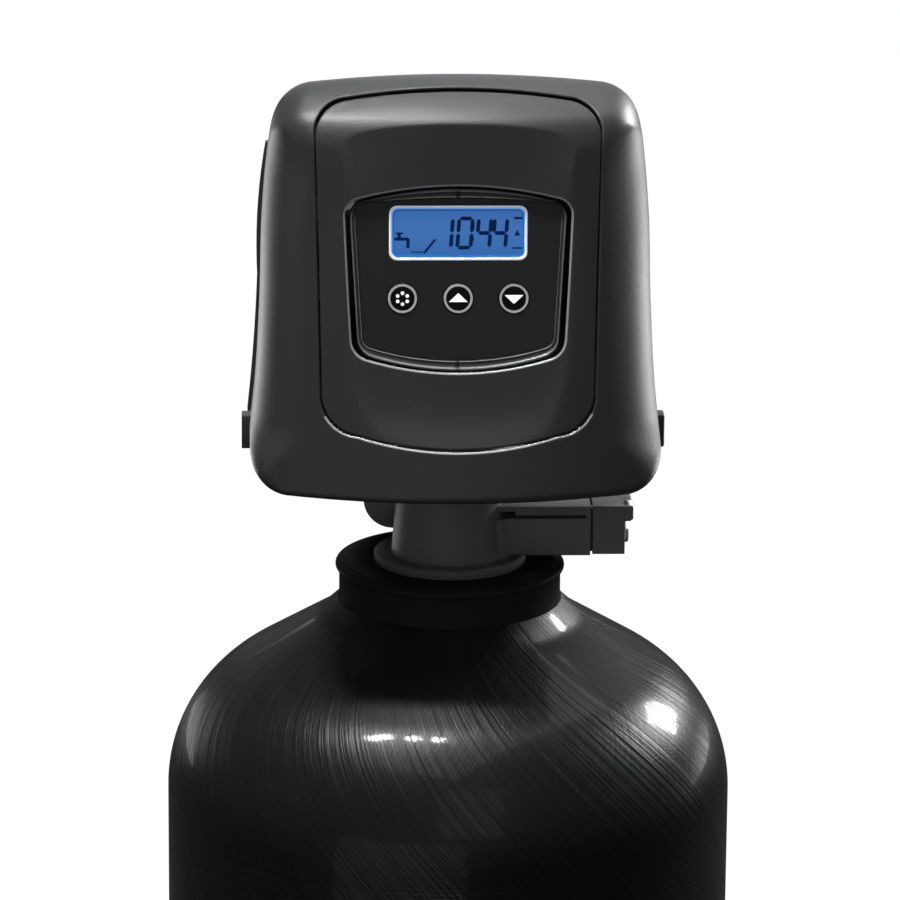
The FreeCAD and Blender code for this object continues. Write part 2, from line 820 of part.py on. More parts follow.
def drive_gear():
    """The big gear with its crank pin, which lifts the yoke once a half turn."""
    centre = gear_place()
    gear = upright_gear(gear_teeth, pinion_direction, gear_bore, centre)
    web = ring(cam_inner - 1.5, 15.5 + crank_pin_radius, gear_width, (0, 0, 0))
    spokes = [block(-30, 30, -3, 3, 0, gear_width), block(-3, 3, -30, 30, 0, gear_width)]
    for spoke in spokes:
        web = web.cut(spoke)
    web.translate(V(0, 0, -gear_width))
    web.Placement = FreeCAD.Placement(centre, FreeCAD.Rotation(X_AXIS, 90)).multiply(web.Placement)
    pin = cylinder(crank_pin_radius, crank_pin_reach + 0.5,
                   (0, centre.y + gear_width - 0.5, gear_up - crank_radius), Y_AXIS)
    return joined(gear.cut(web), pin)


def position_cam():
    """The notched ring on the gear that the two switches read."""
    start = gear_place().y + gear_width
    cam = ring(cam_outer, cam_inner, cam_thickness, (0, start, gear_up), Y_AXIS)
    for turn in (0, 150):
        notch = block(cam_outer - 2.5, cam_outer + 1, start - 1, start + cam_thickness + 1, -3, 3)
        notch.rotate(V(0, 0, 0), Y_AXIS, turn)
        notch.translate(V(0, 0, gear_up))
        cam = cam.cut(notch)
    return cam


def motor_pinion():
    """The small gear on the gearbox's shaft."""
    dx, dz = pinion_offset()
    centre = gear_place() + V(dx, 0, dz)
    first = pinion_direction + 180 + 180.0 / pinion_teeth
    pinion = upright_gear(pinion_teeth, first, 0.5, centre)
    shaft_back = plate_front - 4
    shaft = cylinder(3.0, centre.y + gear_width - shaft_back, (centre.x, shaft_back, centre.z), Y_AXIS)
    return joined(pinion, shaft)


def gear_axle():
    """The shouldered pin that carries the drive gear on the plate."""
    y0 = plate_front
    end = gear_place().y + gear_width + 0.4
    shank = cylinder(gear_bore - axle_clearance, end - y0, (0, y0, gear_up), Y_AXIS)
    head = cylinder(gear_bore + 3, 2.5, (0, y0 - 2.5, gear_up), Y_AXIS)
    washer = cylinder(gear_bore + 2.5, 1.2, (0, end, gear_up), Y_AXIS)
    return joined(shank, head, washer)


def motor_gearbox():
    """The reduction gearbox on the front of the drive plate."""
    dx, dz = pinion_offset()
    x, z = dx, gear_up + dz
    box = block(x - gearbox_half, x + gearbox_half, plate_front - gearbox_depth, plate_front,
                z - gearbox_half, z + gearbox_half)
    box = rounded(box, 5, lambda p: abs(abs(p.x - x) - gearbox_half) < 0.1
                  and abs(abs(p.z - z) - gearbox_half) < 0.1)
    return box.cut(cylinder(3.2, 6, (x, plate_front - 5, z), Y_AXIS))


def drive_motor():
    """The motor can in front of the gearbox, with its terminal block."""
    dx, dz = pinion_offset()
    x, z = dx, gear_up + dz
    back = plate_front - gearbox_depth
    can = cylinder(motor_radius, motor_depth, (x, back - motor_depth, z), Y_AXIS)
    can = rounded(can, 2, lambda p: p.y < back - motor_depth + 0.1)
    terminals = block(x - 6, x + 6, back - motor_depth, back, z - motor_radius - 4,
                      z - motor_radius + 3)
    return joined(can, terminals)


def post_places():
    """Across and height of the display module's four posts."""
    return [(x, z) for x in (-35, 35) for z in (112, 184)]


def rail_end():
    """Back of the side rails that the cover's latches press on."""
    return latch_back + latch_width / 2 + 4


def drive_plate():
    """The upright plate that carries the drive, the display posts and the cover's side rails."""
    back = plate_front + plate_thickness
    plate = block(-plate_half_width, plate_half_width, plate_front, back, plate_bottom, plate_top)
    plate = rounded(plate, 12, lambda p: abs(abs(p.x) - plate_half_width) < 0.1
                    and (p.z < plate_bottom + 0.1 or p.z > plate_top - 0.1))
    rails = []
    for side in (-1, 1):
        x0, x1 = sorted((side * (plate_half_width - 3), side * plate_half_width))
        rails.append(block(x0, x1, back, rail_end(), latch_up - 8, latch_up + 16))
    foot = block(-head_flange, head_flange, plate_front, -column_radius - 1.0, plate_bottom,
                 plate_bottom + 3)
    plate = joined(plate, *rails, foot)
    dx, dz = pinion_offset()
    holes = [cylinder(gear_bore, 20, (0, plate_front - 5, gear_up), Y_AXIS),
             cylinder(4.0, 20, (dx, plate_front - 5, gear_up + dz), Y_AXIS)]
    for x, z in plate_screw_places():
        holes.append(cylinder(screw_radius + 0.1, 20, (x, plate_front - 5, z), Y_AXIS))
    window = block(30, 58, plate_front - 1, back + 1, 90, 130)
    return plate.cut(Part.makeCompound(holes)).cut(window)


def plate_screw_places():
    """Across and height of the screws between the plate and the body's top flange."""
    return [(x, column_top - head_flange_height / 2) for x in (-18, 18)]


def plate_screws():
    """Screws that hold the plate on the valve body, one solid each."""
    return Part.makeCompound([
        screw((x, plate_front, z), Y_AXIS * -1, plate_thickness) for x, z in plate_screw_places()])


def piston_yoke():
    """The slotted bar on top of the rod that the crank pin works in."""
    low = yoke_bottom()
    slot_half = crank_pin_radius + yoke_clearance
    reach = crank_radius + crank_pin_radius + 0.4
    y0 = -yoke_thickness / 2 - 2
    bar = block(-yoke_half_width, yoke_half_width, y0, y0 + yoke_thickness, low, low + yoke_height)
    bar = rounded(bar, 4, lambda p: abs(abs(p.x) - yoke_half_width) < 0.1
                  and (p.z < low + 0.1 or p.z > low + yoke_height - 0.1))
    middle = gear_up - crank_radius
    slot = block(-reach + slot_half, reach - slot_half, y0 - 1, y0 + yoke_thickness + 1,
                 middle - slot_half, middle + slot_half)
    ends = [cylinder(slot_half, yoke_thickness + 2, (x, y0 - 1, middle), Y_AXIS)
            for x in (-reach + slot_half, reach - slot_half)]
    hub = cylinder(6.0, 9, (0, 0, low - 4))
    bar = joined(bar, hub).cut(joined(slot, *ends))
    return bar.cut(cylinder(rod_radius, 10, (0, 0, low - 4)))


def position_switches():
    """Two small switches beside the cam, one solid each."""
    start = plate_front + plate_thickness
    cam_start = gear_place().y + gear_width
    switches = []
    for z in (gear_up - 12, gear_up + 12):
        body = block(39, 52, start, cam_start + cam_thickness, z - 5, z + 5)
        reach = math.sqrt(cam_outer ** 2 - 12 ** 2) + 0.35
        lever = block(reach, 40, cam_start + 1, cam_start + cam_thickness - 0.5, z - 1.2, z + 1.2)
        lever = lever.cut(cylinder(cam_outer + 0.3, 40, (0, -40, gear_up), Y_AXIS))
        switches.append(joined(body, lever))
    return Part.makeCompound(switches)


# Display module in the face frame: across, along, out
def shield_wire(inset_side, inset_top, inset_bottom, corner, flare=0.0):
    """The display's outline: bowed top and bottom edges and sides that close downwards."""
    top_x, low_x = module_top_half - inset_side, module_bottom_half - inset_side + flare
    top_y, low_y = module_top_side - inset_top, module_bottom_side + inset_bottom
    top_c, low_c = module_top_centre - inset_top, module_bottom_centre + inset_bottom
    c = corner
    top_end, low_end = top_x - c, low_x - c
    share_top = top_c - (top_c - top_y) * (top_end / top_x) ** 2
    share_low = low_c + (low_y - low_c) * (low_end / low_x) ** 2
    k = 0.29
    return outline(
        (-low_end, share_low, 0),
        ((0, low_c, 0), (low_end, share_low, 0)),
        ((low_x - k * c, low_y + k * c * 0.6, 0), (low_x, low_y + c, 0)),
        (top_x, top_y - c, 0),
        ((top_x - k * c, top_y - k * c * 0.4, 0), (top_end, share_top, 0)),
        ((0, top_c, 0), (-top_end, share_top, 0)),
        ((-top_x + k * c, top_y - k * c * 0.4, 0), (-top_x, top_y - c, 0)),
        (-low_x, low_y + c, 0),
        ((-low_x + k * c, low_y + k * c * 0.6, 0), (-low_end, share_low, 0)),
    )


def display_opening():
    """The opening in the front panel around the display."""
    return shield_wire(-module_clearance, -opening_margin_top, -opening_margin_low,
                       module_corner, opening_flare)


def overlay_wire(grow=0.0):
    """The outline of the flat fascia inside the display's rim."""
    return shield_wire(rim_side - grow, 3.0 - grow, 5.0 - grow, module_corner - 2.5)


def rounded_rectangle(width, height, along, corner):
    """A rectangle with round corners, centred across, in the face frame."""
    x, y = width / 2, height / 2
    k = corner * (1 - math.sqrt(0.5))
    return outline(
        (-x + corner, along - y, 0), (x - corner, along - y, 0),
        ((x - k, along - y + k, 0), (x, along - y + corner, 0)),
        (x, along + y - corner, 0),
        ((x - k, along + y - k, 0), (x - corner, along + y, 0)),
        (-x + corner, along + y, 0),
        ((-x + k, along + y - k, 0), (-x, along + y - corner, 0)),
        (-x, along - y + corner, 0),
        ((-x + k, along - y + k, 0), (-x + corner, along - y, 0)),
    )


def fascia_front():
    """How far out the fascia's front lies."""
    return module_front - rim_depth


def display_housing():
    """The tray that holds the board, with the raised rim that frames the fascia."""
    depth = module_front - module_back
    tray = extruded(shield_wire(0, 0, 0, module_corner), module_back, depth)
    pocket = extruded(shield_wire(module_wall, module_wall, module_wall, module_corner - 1),
                      module_back + module_wall, depth - module_wall)
    front_plate = extruded(shield_wire(0.5, 0.5, 0.5, module_corner - 0.5),
                           fascia_front() - overlay_thickness - 1.0,
                           module_front - fascia_front() + overlay_thickness + 1.0)
    seat = extruded(overlay_wire(0.1), fascia_front() - overlay_thickness, 20)
    tray = joined(tray.cut(pocket), front_plate).cut(seat)
    hollow = extruded(overlay_wire(-2.5), fascia_front() - overlay_thickness - 2, 10)
    return face_frame(tray.cut(hollow))


def button_places():
    """Across positions of the three buttons."""
    return [-button_pitch, 0.0, button_pitch]


def display_overlay():
    """The flat fascia with the window and the button holes."""
    sheet = extruded(overlay_wire(), fascia_front() - overlay_thickness, overlay_thickness)
    window = extruded(rounded_rectangle(lcd_width, lcd_height, lcd_centre, lcd_corner), -20, 40)
    holes = [cylinder(button_radius + button_clearance, 40, (x, button_along, -20))
             for x in button_places()]
    return face_frame(sheet.cut(window).cut(Part.makeCompound(holes)))


def lcd_frame():
    """The pale frame around the lit display."""
    outer = extruded(rounded_rectangle(lcd_width - 0.1, lcd_height - 0.1, lcd_centre, lcd_corner),
                     fascia_front() - lcd_thickness, lcd_thickness - 0.1)
    inner = extruded(rounded_rectangle(lcd_width - 2 * lcd_frame_width, lcd_height - 2 * lcd_frame_width,
                                       lcd_centre, lcd_corner - 1.2), -20, 40)
    return face_frame(outer.cut(inner))


def lcd_panel():
    """The lit panel behind the window."""
    inset = 2 * lcd_frame_width + 0.1
    panel = extruded(rounded_rectangle(lcd_width - inset, lcd_height - inset, lcd_centre,
                                       lcd_corner - 1.3),
                     -board_depth, board_depth + fascia_front() - 0.9)
    return face_frame(panel)


def lcd_window():
    """The clear lens over the display."""
    inset = 2 * lcd_frame_width + 0.1
    lens = extruded(rounded_rectangle(lcd_width - inset, lcd_height - inset, lcd_centre,
                                      lcd_corner - 1.3), fascia_front() - 0.9, 0.7)
    return face_frame(lens)


def push_button(across):
    """A round key with its stem."""
    front = fascia_front() + button_proud
    cap = cylinder(button_radius, 2.6, (across, button_along, front - 2.6))
    cap = rounded(cap, 0.4, lambda p: p.z > front - 0.05)
    flange = cylinder(button_radius + 1.0, 0.8,
                      (across, button_along, fascia_front() - overlay_thickness - 0.95))
    stem = cylinder(2.0, 3.0, (across, button_along, front - 4.6))
    return face_frame(joined(cap, flange, stem))


def control_board():
    """The circuit board in the display's tray."""
    board = extruded(rounded_rectangle(2 * (module_bottom_half - module_wall - 4), 60, 98.5, 3),
                     -board_depth - board_thickness, board_thickness)
    legs = [cylinder(3.0, -board_depth - board_thickness - module_back - module_wall,
                     (x, y, module_back + module_wall)) for x in (-32, 32) for y in (74, 122)]
    return face_frame(joined(board, *legs))


def button_switches():
    """The small switches on the board under the keys, one solid each."""
    tops = fascia_front() + button_proud - 4.6 - button_travel - 0.2
    switches = []
    for x in button_places():
        body = Part.makeBox(6, 6, tops + board_depth - 0.6, V(x - 3, button_along - 3, -board_depth))
        plunger = cylinder(1.6, 0.7, (x, button_along, tops - 0.7))
        switches.append(joined(body, plunger))
    return face_frame(Part.makeCompound(switches))


def display_posts():
    """The posts between the drive plate and the display's tray, one solid each."""
    behind = face_frame(Part.makeBox(300, 400, 200, V(-150, -100, module_back - 200)))
    posts = []
    for x, z in post_places():
        post = cylinder(post_radius, 60, (x, plate_front - 60, z), Y_AXIS)
        posts.append(post.common(behind))
    return Part.makeCompound(posts)


# Covers, with heights from the tank's top
def cover_outline(inset, back, lower=0.0, share=0.0):
    """The cover's outline seen from the front, at a depth, as it gets lower and narrower behind."""
    low, fall = cover_bottom - lower, share * cover_rear_fall
    c, k = cover_low_corner, 1 - math.sqrt(0.5)
    wide, foot, waist, upper, high = (half - inset - share * cover_rear_narrowing for half in (
        cover_half_width, cover_foot_half_width, cover_waist_half_width, cover_upper_half_width,
        cover_shoulder_half_width))
    edge_x, edge_z = cover_edge_half_width - inset * 0.4, cover_edge_up - inset - fall
    shoulder_z = cover_shoulder_up - fall
    corner_x, corner_z = high - 0.25 * cover_high_corner, edge_z - 0.5 * cover_high_corner
    return outline(
        (-wide + c, back, low),
        (wide - c, back, low),
        ((wide - k * c, back, low + k * c), (wide, back, low + c)),
        ((foot, back, cover_foot_up), (waist, back, cover_waist_up)),
        ((upper, back, cover_upper_up), (high, back, shoulder_z)),
        ((corner_x, back, corner_z), (edge_x, back, edge_z)),
        ((0, back, cover_crown_up - inset - fall), (-edge_x, back, edge_z)),
        ((-corner_x, back, corner_z), (-high, back, shoulder_z)),
        ((-upper, back, cover_upper_up), (-waist, back, cover_waist_up)),
        ((-foot, back, cover_foot_up), (-wide, back, low + c)),
        ((-wide + k * c, back, low + k * c), (-wide + c, back, low)),
    )


def roof_form(inset):
    """The side profile's roof and rounded brow, swept about a far axis to arch it across."""
    lean = math.tan(math.radians(face_lean))
    brow_y = (cover_face_front + (cover_brow_up - cover_bottom) * lean
              + scoop_depth / math.cos(math.radians(face_lean)))
    crest = cover_crown_up - inset
    rise = cover_crown_up - cover_brow_up
    radius = ((cover_crest_back - brow_y) ** 2 + rise ** 2) / (2 * rise) - inset

    def roof(back):
        """A point on the roof's arc at a depth."""
        return (0, back, crest - radius + math.sqrt(radius ** 2 - (back - cover_crest_back) ** 2))

    start = roof(brow_y + 1.2 * inset)
    ahead = roof(brow_y + 1.2 * inset - brow_reach)
    slope = (start[2] - ahead[2]) / (start[1] - ahead[1])
    low = -cover_bottom
    front_y = cover_face_front - brow_reach
    foot = (0, front_y, ahead[2] - slope * (ahead[1] - front_y))
    end = roof(cover_crest_back + 0.8 * radius)
    profile = outline(
        (0, front_y, low), foot, ahead,
        ((0, cover_crest_back, crest), end),
        (0, end[1] + 60, end[2] - 80), (0, end[1] + 60, low))
    axis = V(0, 0, cover_crown_up - roof_arch_radius)
    section = Part.Face(profile)
    section.rotate(axis, Y_AXIS, -roof_sweep / 2)
    return section.revolve(axis, Y_AXIS, roof_sweep)


def plan_wire(inset, along):
    """The cover's front in plan, in the face frame: a bowed face with a round shoulder each side."""
    taper = ((cover_half_width - cover_shoulder_half_width)
             / (cover_shoulder_up - cover_bottom - cover_low_corner))
    half = cover_half_width + shoulder_skin + (cover_low_corner - along) * taper
    bow, shoulder = face_bow_radius, shoulder_radius
    x = half - shoulder
    y = math.sqrt((bow - shoulder) ** 2 - x ** 2) - bow
    turn = math.atan2(x, y + bow)
    middle = (turn + math.pi / 2) / 2
    r = shoulder - inset
    edge = (x + r * math.sin(turn), along, y + r * math.cos(turn))
    bulge = (x + r * math.sin(middle), along, y + r * math.cos(middle))
    side = (x + r, along, y)
    return outline(
        (-side[0], along, -2 * shoulder_radius - 100), (-side[0], along, y),
        ((-bulge[0], along, bulge[2]), (-edge[0], along, edge[2])),
        ((0, along, -inset), edge), (bulge, side),
        (side[0], along, -2 * shoulder_radius - 100))


def cover_blank(inset, back, lower=0.0):
    """The cover's closed form, inset all over: outline, roof and bowed face together."""
    front = Part.Face(cover_outline(inset, cover_crest_back, lower))
    front = front.extrude(V(0, -2 * tank_radius, 0))
    share = (back - cover_crest_back) / (cover_back - cover_crest_back)
    rear = Part.makeLoft([cover_outline(inset, cover_crest_back, lower, 0.0),
                          cover_outline(inset, back, lower, share)], True, True)
    plan = Part.makeLoft([plan_wire(inset, 260), plan_wire(inset, -60)], True, True)
    return front.fuse(rear).common(roof_form(inset)).common(face_frame(plan))


def cover_outer():
    """The cover's outside."""
    return cover_blank(0, cover_back)


def panel_wire(grow):
    """The seam around the front panel, in the face frame."""
    low, high = panel_half_low + grow, panel_half_high + grow
    low_x, low_y = panel_low_corner
    high_x, high_y = panel_high_corner
    return outline(
        (-low_x, low_y - grow, 0),
        ((0, panel_low_centre - grow, 0), (low_x, low_y - grow, 0)),
        ((low - 3.4, low_y + 7.0 - grow * 0.7, 0), (low, panel_low_side, 0)),
        (high, panel_high_side, 0),
        ((high - 3.6, high_y - 5.2 + grow * 0.7, 0), (high_x, high_y + grow, 0)),
        ((0, panel_high_centre + grow, 0), (-high_x, high_y + grow, 0)),
        ((-high + 3.6, high_y - 5.2 + grow * 0.7, 0), (-high, panel_high_side, 0)),
        (-low, panel_low_side, 0),
        ((-low + 3.4, low_y + 7.0 - grow * 0.7, 0), (-low_x, low_y - grow, 0)),
    )


def panel_prism(grow):
    """The seam outline as a solid, square to the leaning face."""
    return face_frame(extruded(panel_wire(grow), -panel_depth, panel_depth + 40))


def latch_hole(grow):
    """The side openings that the latches sit in, as one cutter."""
    half_w, half_h = latch_width / 2 + grow, latch_height / 2 + grow
    return block(-120, 120, latch_back - half_w, latch_back + half_w, latch_up - half_h,
                 latch_up + half_h)


def front_cover():
    """The black shell of the head, open behind and below, with the seat of the front panel."""
    shell = cover_outer().cut(cover_blank(cover_wall, cover_back + 50, 40))
    return shell.cut(panel_prism(seam_gap)).cut(latch_hole(latch_clearance))


def scoop_wire(spread, out):
    """The hollow's outline in the face frame: it widens upwards and leaves through the roof."""
    low_half, high_half = scoop_half_low + spread, scoop_half_high + spread
    c = scoop_corner + spread / 2
    low = scoop_low - spread
    k = c * (1 - math.sqrt(0.5))
    return outline(
        (-low_half + c, low, out), ((0, low - scoop_rise, out), (low_half - c, low, out)),
        ((low_half - k, low + k, out), (low_half, low + c, out)),
        (high_half, scoop_high, out), (-high_half, scoop_high, out), (-low_half, low + c, out),
        ((-low_half + k, low + k, out), (-low_half + c, low, out)),
    )


def front_panel():
    """The panel inside the seam: hollowed to a flat face that frames the display."""
    skin = cover_outer().common(panel_prism(0))
    deep = cover_blank(cover_wall, cover_back + 50, 40)
    floor = scoop_depth + cover_wall - 0.5
    scoop = face_frame(Part.makeLoft([scoop_wire(0, -scoop_depth),
                                      scoop_wire(2 * scoop_spread, scoop_depth)], True, True))
    plate = face_frame(extruded(scoop_wire(scoop_spread, 0), -floor, floor + 2))
    panel = skin.cut(deep.cut(plate)).cut(scoop)
    opening = face_frame(extruded(display_opening(), -panel_depth, 2 * panel_depth))
    return panel.cut(opening)


def side_latch():
    """The right-hand release pad with the plate that keeps it in the cover's wall."""
    half = cover_half_width
    pad = block(half - cover_wall - 2.8, half + latch_proud, latch_back - latch_width / 2,
                latch_back + latch_width / 2, latch_up - latch_height / 2, latch_up + latch_height / 2)
    pad = rounded(pad, 1.0, lambda p: p.x > half + latch_proud - 0.05)
    inner = half - cover_wall - 2.8
    keeper = block(inner - 2, inner, latch_back - latch_width / 2 - 2.5,
                   latch_back + latch_width / 2 + 2.5, latch_up - latch_height / 2 + 3,
                   latch_up + latch_height / 2 + 2.5)
    toe = block(plate_half_width + 2.2, inner - 2, latch_back - 2, latch_back + 2,
                latch_up - 2, latch_up + 6)
    return joined(pad, keeper, toe)


def rear_form(inset, start, length, lower=0.0):
    """A slab behind the cover with the outline of the cover's rear edge."""
    slab = Part.Face(cover_outline(inset, start, lower, 1.0)).extrude(V(0, length, 0))
    return slab


def rear_cover():
    """The tray that closes the back of the head, with its side ears and mounting bosses."""
    start = cover_back + rear_gap
    keep = block(-150, 150, start - 1, start + ear_thickness + 1, ear_bottom, ear_top)
    ears = rear_form(-ear_overhang, start, ear_thickness).common(keep)
    tray = rear_form(rear_lip_inset, start, ear_thickness)
    deep = rear_form(rear_inset, start, rear_depth)
    slope = Part.makeBox(400, 200, 100, V(-200, 0, 0))
    slope.rotate(V(0, 0, 0), X_AXIS, -rear_slope)
    slope.translate(V(0, start, cover_crown_up - cover_rear_fall - rear_lip_inset))
    deep = deep.cut(slope)
    hollow = rear_form(rear_inset + rear_wall, start - 12, rear_depth + 12 - rear_wall, 30)
    slope.translate(V(0, 0, -rear_wall - 1.0))
    hollow = hollow.cut(slope)
    shell = joined(deep.cut(hollow), tray.cut(hollow), ears.cut(hollow))
    back = start + rear_depth - rear_wall
    bosses = [cylinder(5, back - head_flange + 0.5, (x, head_flange, column_top - 4), Y_AXIS)
              for x in (-18, 18)]
    return joined(shell, *bosses)


# Bypass valve
def bypass_body():
    """The two through tubes, joined by the cross barrel that the rotor turns in."""
    tubes = [cylinder(bypass_tube_radius, bypass_end - port_end - 0.4,
                      (x, port_end + 0.4, port_height), Y_AXIS) for x in port_sides()]
    barrel = cylinder(barrel_radius, barrel_left + barrel_right,
                      (-barrel_left, bypass_axis_back, port_height), X_AXIS)
    collars = [cylinder(bypass_tube_radius + 1.5, 8, (x, port_end + 0.4, port_height), Y_AXIS)
               for x in port_sides()]
    body = joined(barrel, *tubes, *collars)
    bores = [cylinder(rotor_radius + rotor_clearance, barrel_left + barrel_right,
                      (-barrel_left + 2.5, bypass_axis_back, port_height), X_AXIS)]
    for x in port_sides():
        bores.append(cylinder(bypass_bore, bypass_end, (x, port_end - 10, port_height), Y_AXIS))
        bores.append(cylinder(port_bore, 15.4, (x, port_end, port_height), Y_AXIS))
    return body.cut(Part.makeCompound(bores))


def bypass_rotor():
    """The rotor with a way through for each tube, and the stem that the knob sits on."""
    start = -barrel_left + 2.6
    length = barrel_right - start - 0.1
    rotor = cylinder(rotor_radius, length, (start, bypass_axis_back, port_height), X_AXIS)
    stem = cylinder(6.0, 12, (start + length, bypass_axis_back, port_height), X_AXIS)
    rotor = joined(rotor, stem)
    for x in port_sides():
        rotor = rotor.cut(cylinder(bypass_bore, 60, (x, bypass_axis_back - 30, port_height), Y_AXIS))
    return rotor


def bypass_knob():
    """The hand knob on the rotor's right end: a fluted disc with a raised pointer bar."""
    start = barrel_right + 0.6
    knob = cylinder(knob_radius, knob_width, (start, bypass_axis_back, port_height), X_AXIS)
    knob = rounded(knob, 1.5, lambda p: p.x > start + knob_width - 0.05)
    flutes = []
    for k in range(12):
        a = math.radians(30 * k + 15)
        flutes.append(cylinder(2.4, knob_width + 2, (start - 1,
                                                     bypass_axis_back + (knob_radius + 1) * math.cos(a),
                                                     port_height + (knob_radius + 1) * math.sin(a)),
                               X_AXIS))
    pointer = block(start + knob_width - 1, start + knob_width + 5, bypass_axis_back - 15,
                    bypass_axis_back + 15, port_height - 4, port_height + 4)
    pointer = rounded(pointer, 2, lambda p: p.x > start + knob_width + 4.9)
    knob = joined(knob.cut(Part.makeCompound(flutes)), pointer)
    return knob.cut(cylinder(6.0, 12.4, (start - 1, bypass_axis_back, port_height), X_AXIS))


def bypass_couplings():
    """The short tubes between the valve's ports and the bypass, one solid each."""
    return Part.makeCompound([
        ring(port_bore - 0.1, port_bore - 2.6, 28, (x, port_end - 13, port_height), Y_AXIS)
        .cut(Part.makeCompound([
            ring(port_bore + 1, port_bore - 1.6, 2.6, (x, y, port_height), Y_AXIS)
            for y in coupling_grooves()])) for x in port_sides()])


def coupling_grooves():
    """Depths where the couplings' seal grooves start."""
    return (port_end - 8.0, port_end + 6.0)


def coupling_o_rings():
    """Rubber rings in the couplings' grooves, one solid each."""
    return Part.makeCompound([
        ring(port_bore - 0.05, port_bore - 1.55, 2.4, (x, y + 0.1, port_height), Y_AXIS)
        for x in port_sides() for y in coupling_grooves()])


def pipe_adapter(across):
    """The threaded pipe end on one side of the bypass."""
    nut = hexagon_bar(2 * adapter_hex, adapter_hex_length, (across, bypass_end, port_height), Y_AXIS)
    thread = cylinder(adapter_thread_radius, adapter_thread_length,
                      (across, bypass_end + adapter_hex_length, port_height), Y_AXIS)
    thread = rounded(thread, 0.5, lambda p: p.y > bypass_end + adapter_hex_length
                     + adapter_thread_length - 0.1)
    bore = cylinder(12.0, 60, (across, bypass_end - 1, port_height), Y_AXIS)
    return joined(nut, thread).cut(bore)


# Writing the files
def tank_pieces():
    """Pieces drawn from the floor."""
    seat = tank_top - 1.6
    return {
        "tank_base": tank_base(),
        "tank_shell": tank_shell(),
        "tank_liner": tank_liner(),
        "tank_neck": tank_neck(),
        "riser_tube": riser_tube(),
        "bottom_distributor": bottom_distributor(),
        "top_distributor": top_distributor(),
        "gravel_bed": bed(0, gravel_top),
        "filter_media": bed(gravel_top + 0.3, media_top),
        "tank_o_ring": ring(flange_radius - 1.1, thread_radius + 0.1, 2.9, (0, 0, seat - 1.3)),
    }


def head_pieces():
    """Pieces drawn from the top of the tank."""
    latch = side_latch()
    return {
        "valve_body": valve_body(),
        "piston_seals": piston_seals(),
        "seal_spacers": seal_spacers(),
        "piston": piston(),
        "piston_rod": piston_rod(),
        "end_plug": end_plug(),
        "injector_cap": injector_cap(),
        "injector_gasket": injector_gasket(),
        "injector_plug": injector_plug(),
        "body_screws": body_screws(),
        "coupling_clip": coupling_clip(),
        "drain_elbow": drain_elbow(),
        "drain_flow_washer": drain_flow_washer(),
        "drain_clip": drain_clip(),
        "drive_plate": drive_plate(),
        "plate_screws": plate_screws(),
        "motor_gearbox": motor_gearbox(),
        "drive_motor": drive_motor(),
        "motor_pinion": motor_pinion(),
        "drive_gear": drive_gear(),
        "gear_axle": gear_axle(),
        "position_cam": position_cam(),
        "position_switches": position_switches(),
        "piston_yoke": piston_yoke(),
        "display_posts": display_posts(),
        "display_housing": display_housing(),
        "display_overlay": display_overlay(),
        "lcd_frame": lcd_frame(),
        "lcd_panel": lcd_panel(),
        "lcd_window": lcd_window(),
        "cycle_button": push_button(button_places()[0]),
        "up_button": push_button(button_places()[1]),
        "down_button": push_button(button_places()[2]),
        "control_board": control_board(),
        "button_switches": button_switches(),
        "front_cover": front_cover(),
        "front_panel": front_panel(),
        "rear_cover": rear_cover(),
        "right_latch": latch,
        "left_latch": mirrored(latch),
        "bypass_body": bypass_body(),
        "bypass_rotor": bypass_rotor(),
        "bypass_knob": bypass_knob(),
        "bypass_couplings": bypass_couplings(),
        "coupling_o_rings": coupling_o_rings(),
        "inlet_adapter": pipe_adapter(port_sides()[0]),
        "outlet_adapter": pipe_adapter(port_sides()[1]),
    }


def main():
    """Builds every piece and writes one STEP file for each."""
    os.makedirs("parts", exist_ok=True)
    pieces = tank_pieces()
    for name, shape in head_pieces().items():
        lifted = shape.copy()
        lifted.translate(V(0, 0, tank_top))
        pieces[name] = lifted
    for name, shape in pieces.items():
        bad = "" if shape.isValid() and shape.Volume > 0 else "  NOT VALID"
        print(f"{name:22s} solids {len(shape.Solids):2d} volume {shape.Volume / 1000:10.2f} cm3{bad}")
        shape.exportStep(os.path.join("parts", name + ".step"))


main()
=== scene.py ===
"""Looks of a whole house sediment filter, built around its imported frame.

Sizes in the classes are millimetres and meshes are metres. +Z is up and the front of the head
faces -Y. Heights of the head's pieces are measured from the top of the tank, and the head's
front is drawn in a leaning face frame: across, along the face from its bottom edge, and out.
"""
import logging
import math
from collections.abc import Callable, Sequence
from dataclasses import dataclass, field
from enum import Enum

import bmesh
import bpy
import numpy as np
from mathutils import Matrix, Vector


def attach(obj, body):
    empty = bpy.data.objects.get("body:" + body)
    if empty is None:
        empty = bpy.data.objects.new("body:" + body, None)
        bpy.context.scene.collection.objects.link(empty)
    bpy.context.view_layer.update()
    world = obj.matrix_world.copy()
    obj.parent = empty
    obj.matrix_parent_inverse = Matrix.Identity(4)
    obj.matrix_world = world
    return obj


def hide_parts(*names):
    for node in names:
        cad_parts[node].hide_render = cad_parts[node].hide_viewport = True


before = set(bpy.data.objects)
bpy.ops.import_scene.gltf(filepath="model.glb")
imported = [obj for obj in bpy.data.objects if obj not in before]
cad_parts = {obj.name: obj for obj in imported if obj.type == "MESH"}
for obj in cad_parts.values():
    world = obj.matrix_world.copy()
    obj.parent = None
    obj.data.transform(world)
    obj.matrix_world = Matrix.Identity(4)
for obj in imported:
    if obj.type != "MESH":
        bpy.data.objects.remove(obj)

Array = np.ndarray
Colour = tuple[float, float, float]
Piece = bpy.types.Object
Point = tuple[float, float]

LOG = logging.getLogger("filter")
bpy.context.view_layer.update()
MM = 0.001
TURN = 2.0 * math.pi
TANK_TOP = 1384.0
TANK_RADIUS = 128.5

